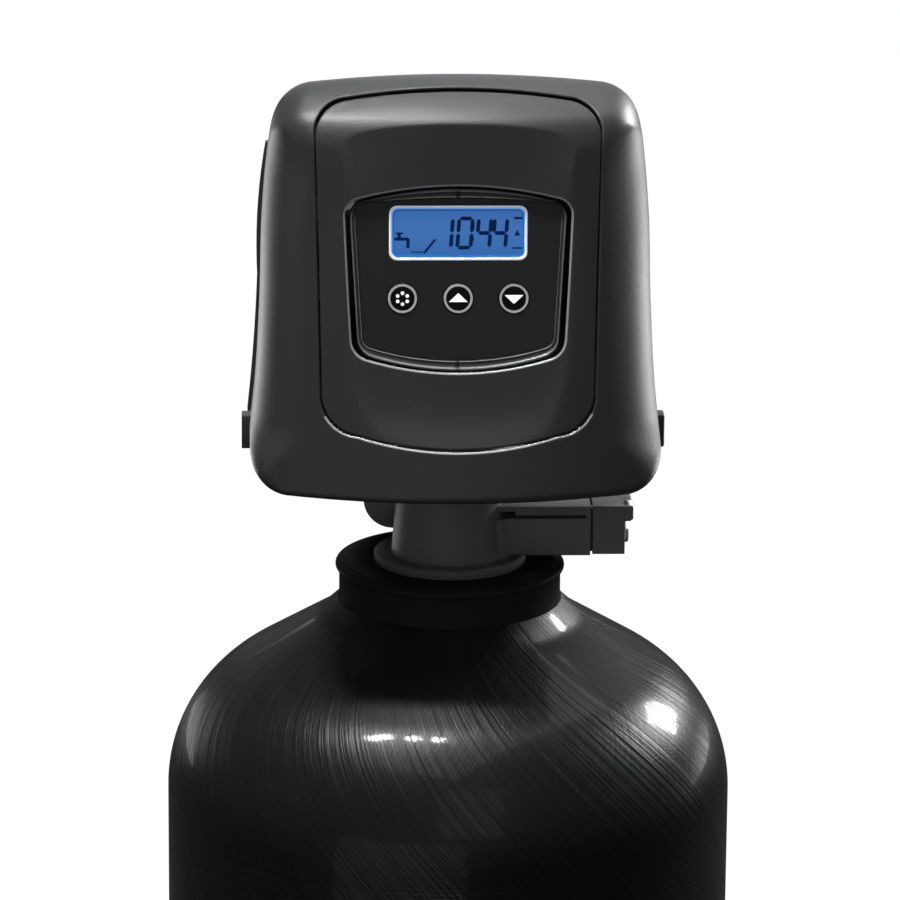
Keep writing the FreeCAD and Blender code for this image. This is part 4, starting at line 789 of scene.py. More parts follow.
@dataclass(frozen=True)
class HeadForm:
    """The closed outside of the head's cover, as a distance that is zero on it."""

    face: FaceFrame = FaceFrame()
    half_widths: tuple[Point, ...] = (
        (40.0, 91.4), (70.0, 90.8), (98.0, 88.2), (132.0, 86.4), (172.0, 85.2), (200.0, 82.6),
        (211.0, 81.0), (240.0, 75.0))
    rear: float = 4.0
    crest: float = 231.2
    crest_back: float = -28.0
    roof_radius: float = 54.5
    roof_end: float = -67.9
    rear_fall: float = 0.325
    crest_ease: float = 3.0
    crest_arch: float = 600.0
    brow_arch: float = 246.0
    brow_run: float = 35.0
    narrowing: float = 2.0
    bow: float = 205.0
    low_corner: float = 17.0
    shoulder: float = 24.0
    high_corner: float = 14.0
    brow: float = 6.0
    low_edge: float = 3.0
    bow_limit: float = 0.9
    bend_limit: float = 1.6
    low_rise: float = 30.0
    high_from: float = 190.0
    high_rise: float = 34.0
    side_top: float = 211.0
    head_arc: tuple[Point, Point] = ((77.4, 220.6), (67.0, 227.4))
    top_through: Point = (34.0, 230.0)
    face_span: Point = (-75.0, 12.0)

    def roof(self, back: Array) -> Array:
        """Height of the roof at a depth.

        It is an arc up to the crest, a straight run ahead of the arc's end, and an eased
        straight fall behind the crest.
        """
        held = np.clip(back, self.roof_end, self.crest_back)
        level = np.sqrt(self.roof_radius ** 2 - (held - self.crest_back) ** 2)
        slope = -(held - self.crest_back) / level
        ahead = np.minimum(back - held, 0.0)
        behind = back - self.crest_back
        fall = (behind + np.sqrt(behind ** 2 + self.crest_ease ** 2)) / 2
        return (self.crest - self.roof_radius + level + slope * ahead
                - self.rear_fall * fall)

    def value(self, p: Array) -> Array:
        """Distance outside the form, below zero inside.

        The bowed face and the roof meet in the brow, and both meet the sides and the bottom,
        each meeting rounded by its own radius.
        """
        x, y, h = p[..., 0], p[..., 1], p[..., 2]
        across = np.minimum(np.abs(x), self.bow_limit * self.bow)
        face = self.face.to_face(p)[..., 2] + self.bow - np.sqrt(self.bow ** 2 - across ** 2)
        ahead = np.clip((self.crest_back - y) / self.brow_run, 0.0, self.bend_limit)
        bend = 1 / self.crest_arch + (1 / self.brow_arch - 1 / self.crest_arch) * ahead
        steep = np.clip(y, self.roof_end, self.crest_back)
        tilt = np.sqrt(1 - ((steep - self.crest_back) / self.roof_radius) ** 2)
        roof = (h + x * x * bend / 2 - self.roof(y)) * tilt
        share = np.clip((y - self.crest_back) / (self.rear - self.crest_back), 0.0, 1.0)
        side = np.abs(x) - smooth_curve(self.half_widths, h) + self.narrowing * share
        edge = rounded_max(side, self.face.bottom - h, self.low_corner)
        low = smooth_step((h - self.face.bottom) / self.low_rise)
        high = smooth_step((h - self.high_from) / self.high_rise)
        radius = self.low_edge + (self.shoulder - self.low_edge) * low
        radius = radius + (self.high_corner - self.shoulder) * high
        return rounded_max(rounded_max(face, roof, self.brow), edge, radius)

    def normal(self, p: Array) -> Array:
        """Unit directions square to the form at points on it."""
        rise = np.stack([self.value(p + step) - self.value(p - step)
                         for step in PROBE * np.eye(3)], -1)
        return rise / np.linalg.norm(rise, axis=-1, keepdims=True)

    def cast(self, start: Array, direction: Array, low: float, high: float) -> Array:
        """Points where rays leave the form, by halving the span between two distances.

        Args:
            start: Where the rays start.
            direction: Their unit directions.
            low: A distance along each ray that is inside the form.
            high: A distance that is outside it.

        Returns:
            The points.
        """
        near, far = np.full(start.shape[:-1], low), np.full(start.shape[:-1], high)
        for _ in range(HALVINGS):
            half = (near + far) / 2
            inside = self.value(start + half[..., None] * direction) < 0
            near, far = np.where(inside, half, near), np.where(inside, far, half)
        return start + near[..., None] * direction

    def on_face(self, across: Array, along: Array) -> Array:
        """How far out the form lies over points of the face frame."""
        base = self.face.to_head(np.stack([across, along, np.zeros_like(across)], -1))
        hit = self.cast(base, np.broadcast_to(self.face.out, base.shape), *self.face_span)
        return self.face.to_face(hit)[..., 2]

    def front_outline(self) -> Array:
        """The cover seen from the front: across and height."""
        low, cut = self.face.bottom, self.low_corner * (1 - math.sqrt(0.5))
        heights = np.linspace(low + self.low_corner, self.side_top, 2 * RUN_STEPS)
        side = np.stack([smooth_curve(self.half_widths, heights), heights], 1)
        wide = side[0, 0]
        foot = outline((0.0, low), (wide - self.low_corner, low),
                       ((wide - cut, low + cut), tuple(side[0])))
        head = outline(tuple(side[-1]), self.head_arc, (self.top_through, (0.0, self.crest)))
        return mirrored_loop(np.concatenate([foot, side[:-1], head, [[0.0, self.crest]]]))


@dataclass(frozen=True)
class Seam:
    """The line around the front panel, in the face frame.

    The bends are how far the bottom and top arcs pass from their centre heights part of the way
    out, and the turns how far the corner arcs pass inside the corner that the lines would make.
    """

    half_low: float = 59.6
    half_high: float = 62.2
    low_side: float = 46.0
    high_side: float = 163.0
    low_centre: float = 23.7
    high_centre: float = 180.2
    low_corner: Point = (44.0, 30.3)
    high_corner: Point = (48.5, 176.2)
    centre: Point = (0.0, 98.0)
    bend_at: float = 0.52
    low_bend: float = 1.8
    high_bend: float = 1.08
    low_turn: Point = (3.4, 7.0)
    high_turn: Point = (3.6, 5.2)
    turn_grow: float = 0.7

    def loop(self, grow: float) -> Array:
        """Its outline, grown outwards, from arcs and straight sides."""
        (lx, ly), (hx, hy) = self.low_corner, self.high_corner
        wide_low, wide_high = self.half_low + grow, self.half_high + grow
        low, high, turn = self.low_centre - grow, self.high_centre + grow, grow * self.turn_grow
        return symmetric(
            (0.0, low),
            ((lx * self.bend_at, low + self.low_bend), (lx, ly - grow)),
            ((wide_low - self.low_turn[0], ly + self.low_turn[1] - turn),
             (wide_low, self.low_side)),
            (wide_high, self.high_side),
            ((wide_high - self.high_turn[0], hy - self.high_turn[1] + turn), (hx, hy + grow)),
            ((hx * self.bend_at, high - self.high_bend), (0.0, high)))


@dataclass(frozen=True)
class Shield:
    """The display module's outline family, in the face frame."""

    top_half: float = 46.7
    bottom_half: float = 43.0
    top_side: float = 131.0
    top_centre: float = 137.9
    bottom_side: float = 67.0
    bottom_centre: float = 59.1
    corner: float = 6.0
    centre: Point = (0.0, 98.0)
    low_cut: Point = (0.29, 0.17)
    high_cut: Point = (0.29, 0.12)

    def loop(self, side: float = 0.0, top: float = 0.0, low: float = 0.0,
             corner: float | None = None, flare: float = 0.0) -> Array:
        """Its outline, inset at the sides, top and bottom.

        Args:
            side: Inset of the sides.
            top: Inset of the bowed top.
            low: Inset of the bowed bottom.
            corner: Size of the corners.
            flare: Width added at the bottom.

        Returns:
            The closed loop.
        """
        c = self.corner if corner is None else corner
        top_x, low_x = self.top_half - side, self.bottom_half - side + flare
        top_y, low_y = self.top_side - top, self.bottom_side + low
        top_c, low_c = self.top_centre - top, self.bottom_centre + low
        top_end, low_end = top_x - c, low_x - c
        rise = (top_c - top_y) * (top_end / top_x) ** 2
        fall = (low_y - low_c) * (low_end / low_x) ** 2
        (low_in, low_up), (high_in, high_down) = self.low_cut, self.high_cut
        return symmetric(
            (0.0, low_c), ((low_end / 2, low_c + fall / 4), (low_end, low_c + fall)),
            ((low_x - low_in * c, low_y + low_up * c), (low_x, low_y + c)),
            (top_x, top_y - c),
            ((top_x - high_in * c, top_y - high_down * c), (top_end, top_c - rise)),
            ((top_end / 2, top_c - rise / 4), (0.0, top_c)))


def rounded_box(width: float, height: float, corner: float, along: float = 0.0) -> Array:
    """A rectangle with round corners, centred across, anticlockwise."""
    x, y, cut = width / 2, height / 2, corner * (1 - math.sqrt(0.5))
    return symmetric((0.0, -y), (x - corner, -y), ((x - cut, cut - y), (x, corner - y)),
                     (x, y - corner), ((x - cut, y - cut), (x - corner, y)),
                     (0.0, y)) + (0.0, along)


@dataclass
class Cover:
    """The pull-off cover: its black shell, the panel inside the seam and the latch pads."""

    form: HeadForm = field(default_factory=HeadForm)
    seam: Seam = field(default_factory=Seam)
    shield: Shield = field(default_factory=Shield)
    wall: float = 3.0
    seam_gap: float = 0.4
    lip: float = 0.95
    # Height above the face's bottom below which the seam's lips take the painted highlight.
    lip_highlight_below: float = 38.0
    low_lip: float = 12.0
    around: int = 400
    rings: int = 66
    panel_rings: int = 84
    panel_wall: float = 2.4
    scoop_out: float = -6.0
    scoop_top_out: float = -3.9
    scoop_bow: float = 325.0
    scoop_low_half: float = 46.6
    scoop_high_half: float = 53.6
    scoop_low: float = 41.0
    scoop_high: float = 178.0
    scoop_rise: float = 5.5
    scoop_corner: float = 13.0
    scoop_slope: float = 0.95
    scoop_ramp: float = 0.36
    scoop_foot: float = 2.6
    brow_edge: float = 0.16
    side_edge: float = 1.6
    scoop_lift: Point = (128.0, 50.0)
    opening: tuple[float, ...] = (-2.6, -1.0, -1.5, 7.0, 1.0)
    left_pad_end: float = -94.4
    pad_edge: float = 0.7
    back_edge: float = 0.4
    rib_centre: Point = (0.0, 140.0)
    rib_down: Point = (0.3, 0.6)
    rib_up: Point = (0.45, 0.5)
    rib_ease: Point = (1.5, 1.35)
    rib_turn: Point = (30.0, 4.0)
    rib_turn_share: float = 0.95
    rib_span: Point = (-24.0, 16.0)
    behind_crest: float = 2.0
    panel_gap: float = 0.1
    panel_fine: int = 2000
    brow_from: Point = (150.0, 40.0)

    def rolled(self, edge: Array, normal: Array, away: bool = False) -> Array:
        """Columns that carry a surface round the lip at its edge.

        Args:
            edge: The ring of points where the lip starts.
            normal: Directions square to the surface there.
            away: Whether the lip lies outside the ring.

        Returns:
            The columns, rings by steps by three.
        """
        run = np.roll(edge, -1, 0) - np.roll(edge, 1, 0)
        inward = np.cross(run, normal)
        inward /= np.linalg.norm(inward, axis=1, keepdims=True)
        inward *= np.sign(np.sum(inward * (edge.mean(0) - edge), 1))[:, None]
        turn = np.linspace(0.0, math.pi / 2, 7)[None, 1:, None]
        ahead = inward[:, None] * np.sin(turn) * (-1 if away else 1)
        return edge[:, None] + self.lip * (ahead - normal[:, None] * (1 - np.cos(turn)))

    def shell(self) -> Piece:
        """The shell: rays fan out from inside along ribs from its rear edge to the seam.

        Each rib starts on the rear edge, or on a short lip along the bottom, turns the front
        corner and ends on the seam. Its rays turn with it from square to the outline to square
        to the face, and the skin is where they leave the form.
        """
        face, form, centre = self.form.face, self.form, self.rib_centre
        lean = math.cos(face.lean)
        rim = form.front_outline()
        seam = self.seam.loop(self.seam_gap + self.lip) * (1.0, lean) + (0.0, face.bottom)
        angles = even_angles(rim, centre, self.around)
        edge, inner = toward(rim, centre, angles), toward(seam, centre, angles)
        run = np.roll(edge, -1, 0) - np.roll(edge, 1, 0)
        outward = np.stack([run[:, 1], -run[:, 0]], 1) / np.hypot(*run.T)[:, None]
        outward *= np.sign(np.sum(outward * (edge - centre), 1))[:, None]
        down = smooth_step((-outward[:, 1] - self.rib_down[0]) / self.rib_down[1])
        up = smooth_step((outward[:, 1] - self.rib_up[0]) / self.rib_up[1])
        sag = form.bow - np.sqrt(form.bow ** 2 - edge[:, 0] ** 2)
        front = face.front + (edge[:, 1] - face.bottom) * math.tan(face.lean) + sag / lean
        turn_back = front * (1 - up) + (form.crest_back - self.behind_crest) * up
        rear = form.rear * (1 - down) + (front + self.low_lip) * down
        start, corner = (np.stack([edge[:, 0], back, edge[:, 1]], 1) for back in (rear, turn_back))
        along = (inner[:, 1] - face.bottom) / lean
        end = face.to_head(np.stack([inner[:, 0], along, form.on_face(inner[:, 0], along)], 1))
        first, second = (np.linalg.norm(b - a, axis=1)[:, None]
                         for a, b in ((start, corner), (corner, end)))
        q = np.linspace(0.0, 1.0, self.rings)[None, :]
        to_corner = 1 - (1 - np.minimum(2 * q, 1)) ** self.rib_ease[0]
        to_end = np.maximum(2 * q - 1, 0) ** self.rib_ease[1]
        target = (start[:, None] + to_corner[..., None] * (corner - start)[:, None]
                  + to_end[..., None] * (end - corner)[:, None])
        past = to_end * second - (1 - to_corner) * first
        wide, tight = self.rib_turn
        reach = np.minimum(wide + (tight - wide) * down[:, None],
                           self.rib_turn_share * np.minimum(first, second))
        angle = math.pi / 2 * smooth_step(past / (2 * reach) + 0.5)[..., None]
        side = np.stack([outward[:, 0], np.zeros(self.around), outward[:, 1]], 1)[:, None]
        direction = np.cos(angle) * side + np.sin(angle) * face.out
        direction /= np.linalg.norm(direction, axis=-1, keepdims=True)
        points = form.cast(target, direction, *self.rib_span)
        lip = self.rolled(points[:, -1], form.normal(points[:, -1]))
        on_lip = np.repeat([0, 1], [self.rings - 1, lip.shape[1]])
        # Only the lower lips of the seam are painted lighter, a painted highlight; the rest keep
        # the cover's paint.
        highlit_lips = inner[:, 1] < face.bottom + self.lip_highlight_below
        skin = Skin()
        skin.grid(np.concatenate([points, lip], 1), around=True,
                  paint=np.outer(highlit_lips, on_lip).ravel())
        piece = skin.piece("cover_shell", Paint.COVER, Paint.LIP_HIGHLIGHT)
        return settle(worked(piece, self.wall, self.back_edge), Body.COVER, Paint.COVER,
                      "front_cover")

    def scoop(self, across: Array, along: Array) -> Array:
        """How far out the hollow's flat floor and its soft side and bottom walls lie."""
        climb = (along - self.scoop_low) / (self.scoop_high - self.scoop_low)
        half = self.scoop_low_half + (self.scoop_high_half - self.scoop_low_half) * climb
        foot = self.scoop_low - self.scoop_rise * (1 - (across / self.scoop_low_half) ** 2)
        away = rounded_max(np.abs(across) - half, self.scoop_ramp * (foot - along),
                           self.scoop_corner)
        soft = (away + np.sqrt(away ** 2 + self.scoop_foot ** 2)) / 2
        crown = self.scoop_top_out - across ** 2 / (2 * self.scoop_bow)
        floor = self.scoop_out + (crown - self.scoop_out) * smooth_step(
            (along - self.scoop_lift[0]) / self.scoop_lift[1])
        return floor + self.scoop_slope * soft

    def panel(self) -> Piece:
        """The panel: rings from the seam to the display's opening, with a lip at both; the lip at
        the opening is painted lighter, a painted highlight.

        It lies as far out as the lower of the head's form and the hollow, and the edge between
        them is eased more at the sides than at the brow.
        """
        centre = self.seam.centre
        outer = self.seam.loop(-self.panel_gap)
        fine = toward(outer, centre, even_angles(outer, centre, self.panel_fine))
        angles = even_angles(fine, centre, self.around)
        a, b = (toward(loop, centre, angles) for loop in (outer, self.shield.loop(*self.opening)))
        step = self.lip * (b - a) / np.linalg.norm(b - a, axis=1, keepdims=True)
        q = np.linspace(0.0, 1.0, self.panel_rings)[None, :, None]
        flat = (a + step)[:, None] * (1 - q) + (b - step)[:, None] * q
        across, along = flat[..., 0], flat[..., 1]
        form, hollow = self.form.on_face(across, along), self.scoop(across, along)
        ease = self.brow_edge + (self.side_edge - self.brow_edge) * smooth_step(
            (self.brow_from[0] - along) / self.brow_from[1])
        out = (form + hollow - np.sqrt((form - hollow) ** 2 + ease ** 2)) / 2
        points = self.form.face.to_head(np.stack([across, along, out], -1))
        start = self.rolled(points[:, 0], self.form.normal(points[:, 0]), away=True)[:, ::-1]
        end = self.rolled(points[:, -1], np.broadcast_to(self.form.face.out, (self.around, 3)))
        # The lip round the display's opening takes the painted highlight.
        skin = Skin()
        skin.grid(np.concatenate([start, points, end], 1), around=True,
                  paint=np.repeat([0, 1], [self.panel_rings + start.shape[1] - 1, end.shape[1]]))
        piece = skin.piece("cover_panel", Paint.COVER, Paint.LIP_HIGHLIGHT)
        return settle(worked(piece, self.panel_wall), Body.COVER, Paint.COVER, "front_panel")

    def latches(self) -> None:
        """The two side pads, the left one cut back a little."""
        softened("left_latch", Paint.COVER, Body.LEFT_LATCH, self.pad_edge, self.left_pad_end)
        softened("right_latch", Paint.COVER, Body.RIGHT_LATCH, self.pad_edge)

    def build(self) -> None:
        """Makes every piece of the cover."""
        self.shell()
        self.panel()
        self.latches()


@dataclass
class DisplayModule:
    """The module in the panel's opening: rim, fascia, lit display and keys."""

    face: FaceFrame = field(default_factory=FaceFrame)
    shield: Shield = field(default_factory=Shield)
    around: int = 560
    tray_back: float = -19.5
    tray_floor: float = -17.4
    fascia_out: float = -8.8
    fascia_thick: float = 1.4
    fascia_fit: float = 0.15
    notch_depth: float = 0.9
    notch_width: float = 0.6
    rim_insets: tuple[float, ...] = (-0.5, 0.0, -1.1, 6.5, 0.6)
    fascia_form: Shield = Shield(44.9, 41.7, 131.2, 133.6, 69.6, 62.9, 3.5)
    rim_profile: tuple[tuple[Point, ...], ...] = (
        ((0.0, tray_back), (0.0, -9.0), (0.01, -8.5), (0.05, -8.15)),
        ((0.05, -8.15), (0.12, -7.75), (0.2, -7.58), (0.28, -7.68), (0.34, -8.0)),
        ((0.34, -8.0), (0.45, -8.3), (0.7, -8.45), (0.8, -8.3)),
        ((0.8, -8.3), (0.86, -8.15), (0.92, -8.3)),
        ((0.92, -8.3), (0.95, -8.8), (1.0, -9.2), (1.0, tray_floor)))
    lcd_size: Point = (60.8, 24.4)
    lcd_along: float = 118.4
    lcd_fit: float = 0.1
    lcd_corner: float = 3.5
    borders: tuple[float, ...] = (0.25, 1.1, 0.35, 0.85)
    border_corner: Point = (3.6, 0.55)
    border_foot: float = -0.25
    border_rise: float = 0.42
    glow_foot: float = -0.42
    shade_foot: Point = (-0.78, -0.81)
    glass_out: float = -0.84
    border_thick: float = 0.3
    figure_out: float = -0.9
    figure_thick: float = 0.04
    key_pitch: float = 24.3
    key_along: float = 89.9
    key_radius: float = 6.8
    key_out: float = -8.55
    key_steps: int = 96
    key_ring: Point = (5.3, 6.36)
    ring_slope: float = 0.06
    mark_lift: float = 0.06
    mark_sink: float = 0.02

    def band(self, skin: Skin, loops: Sequence[Array], centre: Point,
             profile: Sequence[Point], paint: int = 0, notch: float = 0.0) -> None:
        """Carries a profile round between two outlines.

        Args:
            skin: The mesh it joins.
            loops: The outlines at a share of 0 and at a share of 1.
            centre: The point that both are seen from.
            profile: Shares of the way inwards, and how far out.
            paint: The faces' material index.
            notch: Depth of the mark at the middle of the top and bottom.
        """
        angles = even_angles(loops[0], centre, self.around)
        a, b = (toward(loop, centre, angles)[:, None] for loop in loops)
        share, out = np.array(profile).T[:, None]
        flat = a * (1 - share[..., None]) + b * share[..., None]
        cut = notch * np.exp(-(flat[..., 0] / self.notch_width) ** 2) * (out > self.fascia_out)
        points = np.concatenate([flat, (out - cut)[..., None]], -1)
        skin.grid(self.face.to_head(points), around=True, paint=paint)

    def rim(self) -> Piece:
        """The tray with its rim, whose ridges at its outer and its inner edge are painted paler, a
        painted highlight.
        """
        centre = self.shield.centre
        loops = self.shield.loop(*self.rim_insets), self.fascia_form.loop()
        skin = Skin()
        for k, profile in enumerate(self.rim_profile):
            # Every second band is a ridge and takes the painted highlight.
            self.band(skin, loops, centre, profile, k % 2, self.notch_depth)
        angles = even_angles(loops[0], centre, self.around)
        for loop, out, flip in zip(loops, (self.tray_back, self.tray_floor), (True, False)):
            ring = np.column_stack([toward(loop, centre, angles), np.full(self.around, out)])
            skin.fan(self.face.to_head(ring), self.face.to_head(np.array([*centre, out])), flip)
        piece = skin.piece("display_tray", Paint.COVER, Paint.CREST_HIGHLIGHT)
        return settle(piece, Body.FILTER, Paint.COVER, "display_housing")

    def fascia(self) -> Piece:
        """The flat fascia, a filled curve with holes for the display and the keys."""
        fit = self.fascia_fit
        width, height = (size + 2 * self.lcd_fit for size in self.lcd_size)
        loops = [self.fascia_form.loop(fit, fit, fit),
                 rounded_box(width, height, self.lcd_corner, self.lcd_along)]
        loops += [circle(self.key_steps, self.key_radius + fit, (across, self.key_along))
                  for across in (-self.key_pitch, 0.0, self.key_pitch)]
        curve = bpy.data.curves.new("fascia", "CURVE")
        curve.dimensions, curve.fill_mode = "2D", "BOTH"
        curve.extrude = self.fascia_thick / 2
        for loop in loops:
            spline = curve.splines.new("POLY")
            spline.points.add(len(loop) - 1)
            flat = np.column_stack([loop, np.zeros(len(loop)), np.ones(len(loop))])
            spline.points.foreach_set("co", flat.ravel())
            spline.use_cyclic_u = True
        drawn = bpy.data.objects.new("fascia", curve)
        mesh = bpy.data.meshes.new_from_object(drawn)
        bpy.data.objects.remove(drawn)
        points = np.empty(3 * len(mesh.vertices))
        mesh.vertices.foreach_get("co", points)
        points = points.reshape(-1, 3) + (0.0, 0.0, self.fascia_out - self.fascia_thick / 2)
        head = (self.face.to_head(points) + (0.0, 0.0, TANK_TOP)) * MM
        mesh.vertices.foreach_set("co", head.ravel())
        piece = placed(mesh, "display_fascia", Paint.FASCIA)
        return settle(piece, Body.FILTER, Paint.FASCIA, "display_overlay")

    def lit_frame(self) -> Piece:
        """The border round the display: a pale half-round, a lit slope and a deep blue shade."""
        width, height = self.lcd_size
        corner, fall = self.border_corner
        loops = [rounded_box(width - 2 * inset, height - 2 * inset, corner - fall * inset,
                             self.lcd_along) for inset in np.cumsum(self.borders)]
        low, high = self.glass_out, self.shade_foot[0]
        back = low - self.border_thick
        crown = [((1 - math.cos(t)) / 2, self.border_foot + self.border_rise * math.sin(t))
                 for t in np.linspace(0.0, math.pi, 9)]
        profiles = ([(0.0, back), *crown],
                    [(0.0, self.border_foot), (0.5, self.glow_foot), (1.0, high)],
                    [(0.0, high), (0.6, self.shade_foot[1]), (1.0, low)],
                    [(0.0, low), (0.0, back), (1.0, back)])
        skin = Skin()
        for k, profile in enumerate(profiles):
            level = [(share, self.fascia_out + out) for share, out in profile]
            self.band(skin, (loops[k], loops[(k + 1) % 4]), (0.0, self.lcd_along), level, k % 3)
        piece = skin.piece("display_border", Paint.BORDER, Paint.GLOW, Paint.SHADE)
        return settle(piece, Body.FILTER, Paint.BORDER, "lcd_frame")

    def sign(self, skin: Skin, shape: Array) -> None:
        """Adds one thin dark shape, given about the display's centre."""
        low = self.fascia_out + self.figure_out
        skin.plate(shape + (0.0, self.lcd_along), low, low + self.figure_thick,
                   self.face.to_head)

    def figure(self, skin: Skin, segments: str, across: float, half: float) -> None:
        """Adds one seven-part figure.

        Args:
            skin: The mesh it joins.
            segments: Letters of its lit parts, a to g from the top round to the middle.
            across: Its centre.
            half: Half the distance between its upright parts.
        """
        tall, thin, gap, slant = 6.35, 0.85, 0.12, 0.075
        level = np.array([(-half + gap, 0.0), (-half + gap + thin, -thin),
                          (half - gap - thin, -thin), (half - gap, 0.0),
                          (half - gap - thin, thin), (-half + gap + thin, thin)])
        upright = np.array([(0.0, gap), (thin, gap + thin), (thin, tall - gap - thin),
                            (0.0, tall - gap), (-thin, tall - gap - thin), (-thin, gap + thin)])
        parts = {"a": level + (0, tall), "g": level, "d": level - (0, tall),
                 "b": upright + (half, 0), "f": upright - (half, 0),
                 "c": upright + (half, -tall), "e": upright + (-half, -tall)}
        for letter in segments:
            shape = parts[letter] + (across, 0.0)
            shape[:, 0] += slant * shape[:, 1]
            self.sign(skin, shape)

    def figures(self) -> Piece:
        """The dark figures and small signs on the display: a time, a tap and a drip stroke."""
        skin = Skin()
        for segments, across, half in (("bc", -5.9, 3.1), ("abcdef", 2.9, 2.9),
                                       ("bcfg", 11.2, 2.7), ("bcfg", 18.2, 2.7)):
            self.figure(skin, segments, across, half)
        marks = (
            ((5.8, 1.9), (7.1, 1.9), (7.2, 3.5), (5.9, 3.5)),
            ((5.5, -3.5), (6.8, -3.5), (6.9, -1.9), (5.6, -1.9)),
            ((-15.6, -8.8), (-14.3, -8.8), (-9.3, -2.7), (-10.6, -2.7)),
            ((-20.6, -8.5), (-15.4, -8.5), (-15.4, -8.0), (-20.6, -8.0)),
            ((-28.7, -3.3), (-21.9, -3.3), (-21.9, -1.9), (-28.7, -1.9)),
            ((-26.5, -1.9), (-25.0, -1.9), (-25.0, -0.4), (-26.5, -0.4)),
            ((-27.3, -0.4), (-24.0, -0.4), (-24.0, 0.3), (-27.3, 0.3)),
            ((-22.6, -6.6), (-21.2, -6.6), (-21.2, -2.4), (-22.6, -1.9)),
            ((24.3, 6.0), (28.0, 6.0), (28.0, 7.0), (24.3, 7.0)),
            ((24.4, -1.1), (27.0, -1.1), (25.7, 1.5)),
            ((23.6, -6.9), (28.0, -6.9), (28.0, -6.2), (23.6, -6.2)))
        for shape in marks:
            self.sign(skin, np.array(shape))
        piece = skin.piece("display_figures", Paint.FIGURES)
        return settle(piece, Body.FILTER, Paint.DISPLAY)

    def key(self, node: str, body: Body, across: float, marks: list[Array]) -> Piece:
        """A round key: a turned cap with a printed ring and its sign.

        Args:
            node: The frame's key that it stands for.
            body: The body it rides on.
            across: Its centre.
            marks: Outlines of its sign, about its centre.

        Returns:
            The key.
        """
        r, centre = self.key_radius, (across, self.key_along)
        cap = [(0.0, -4.6), (2.0, -4.6), (2.0, -2.2), (7.6, -2.2), (7.6, -1.5), (r, -1.5),
               (r, -0.45), (r - 0.12, -0.2), (r - 0.4, -0.03), (r - 0.8, 0.0), (0.5, 0.0),
               (0.0, 0.0)]
        (inner, outer), slope = self.key_ring, self.ring_slope
        low, high = -self.mark_sink, self.mark_lift
        ring = [(inner, low), (inner + slope, high), (outer - slope, high), (outer, low),
                (inner, low)]
        skin = Skin()
        for paint, profile in enumerate((cap, ring)):
            points = turned(np.array(profile) + (0.0, self.key_out), self.key_steps, centre)
            skin.grid(self.face.to_head(points), around=True, flip=paint == 1, paint=paint)
        # The signs are white print with a painted glow.
        for shape in marks:
            skin.plate(shape + centre, self.key_out + low, self.key_out + high,
                       self.face.to_head, 2)
        piece = skin.piece(node + "_form", Paint.KEY, Paint.RING, Paint.GLOWING_MARKS)
        return settle(piece, body, Paint.KEY, node)

    def keys(self) -> None:
        """The three keys: a wheel of six dots, an up triangle and a down triangle."""
        turns = [(k + 0.5) * TURN / 6 for k in range(6)]
        wheel = [circle(18, 0.78, (2.4 * math.cos(t), 2.4 * math.sin(t))) for t in turns]
        rise = np.array([(-4.1, -1.5), (4.1, -1.5), (0.0, 2.4)])
        self.key("cycle_button", Body.CYCLE_KEY, -self.key_pitch, wheel)
        self.key("up_button", Body.UP_KEY, 0.0, [rise])
        self.key("down_button", Body.DOWN_KEY, self.key_pitch, [(rise * (1.0, -1.0))[::-1]])

    def build(self) -> None:
        """Makes every piece of the module."""
        self.rim()
        self.lit_frame()
        self.figures()
        self.keys()
        self.fascia()


# The tank


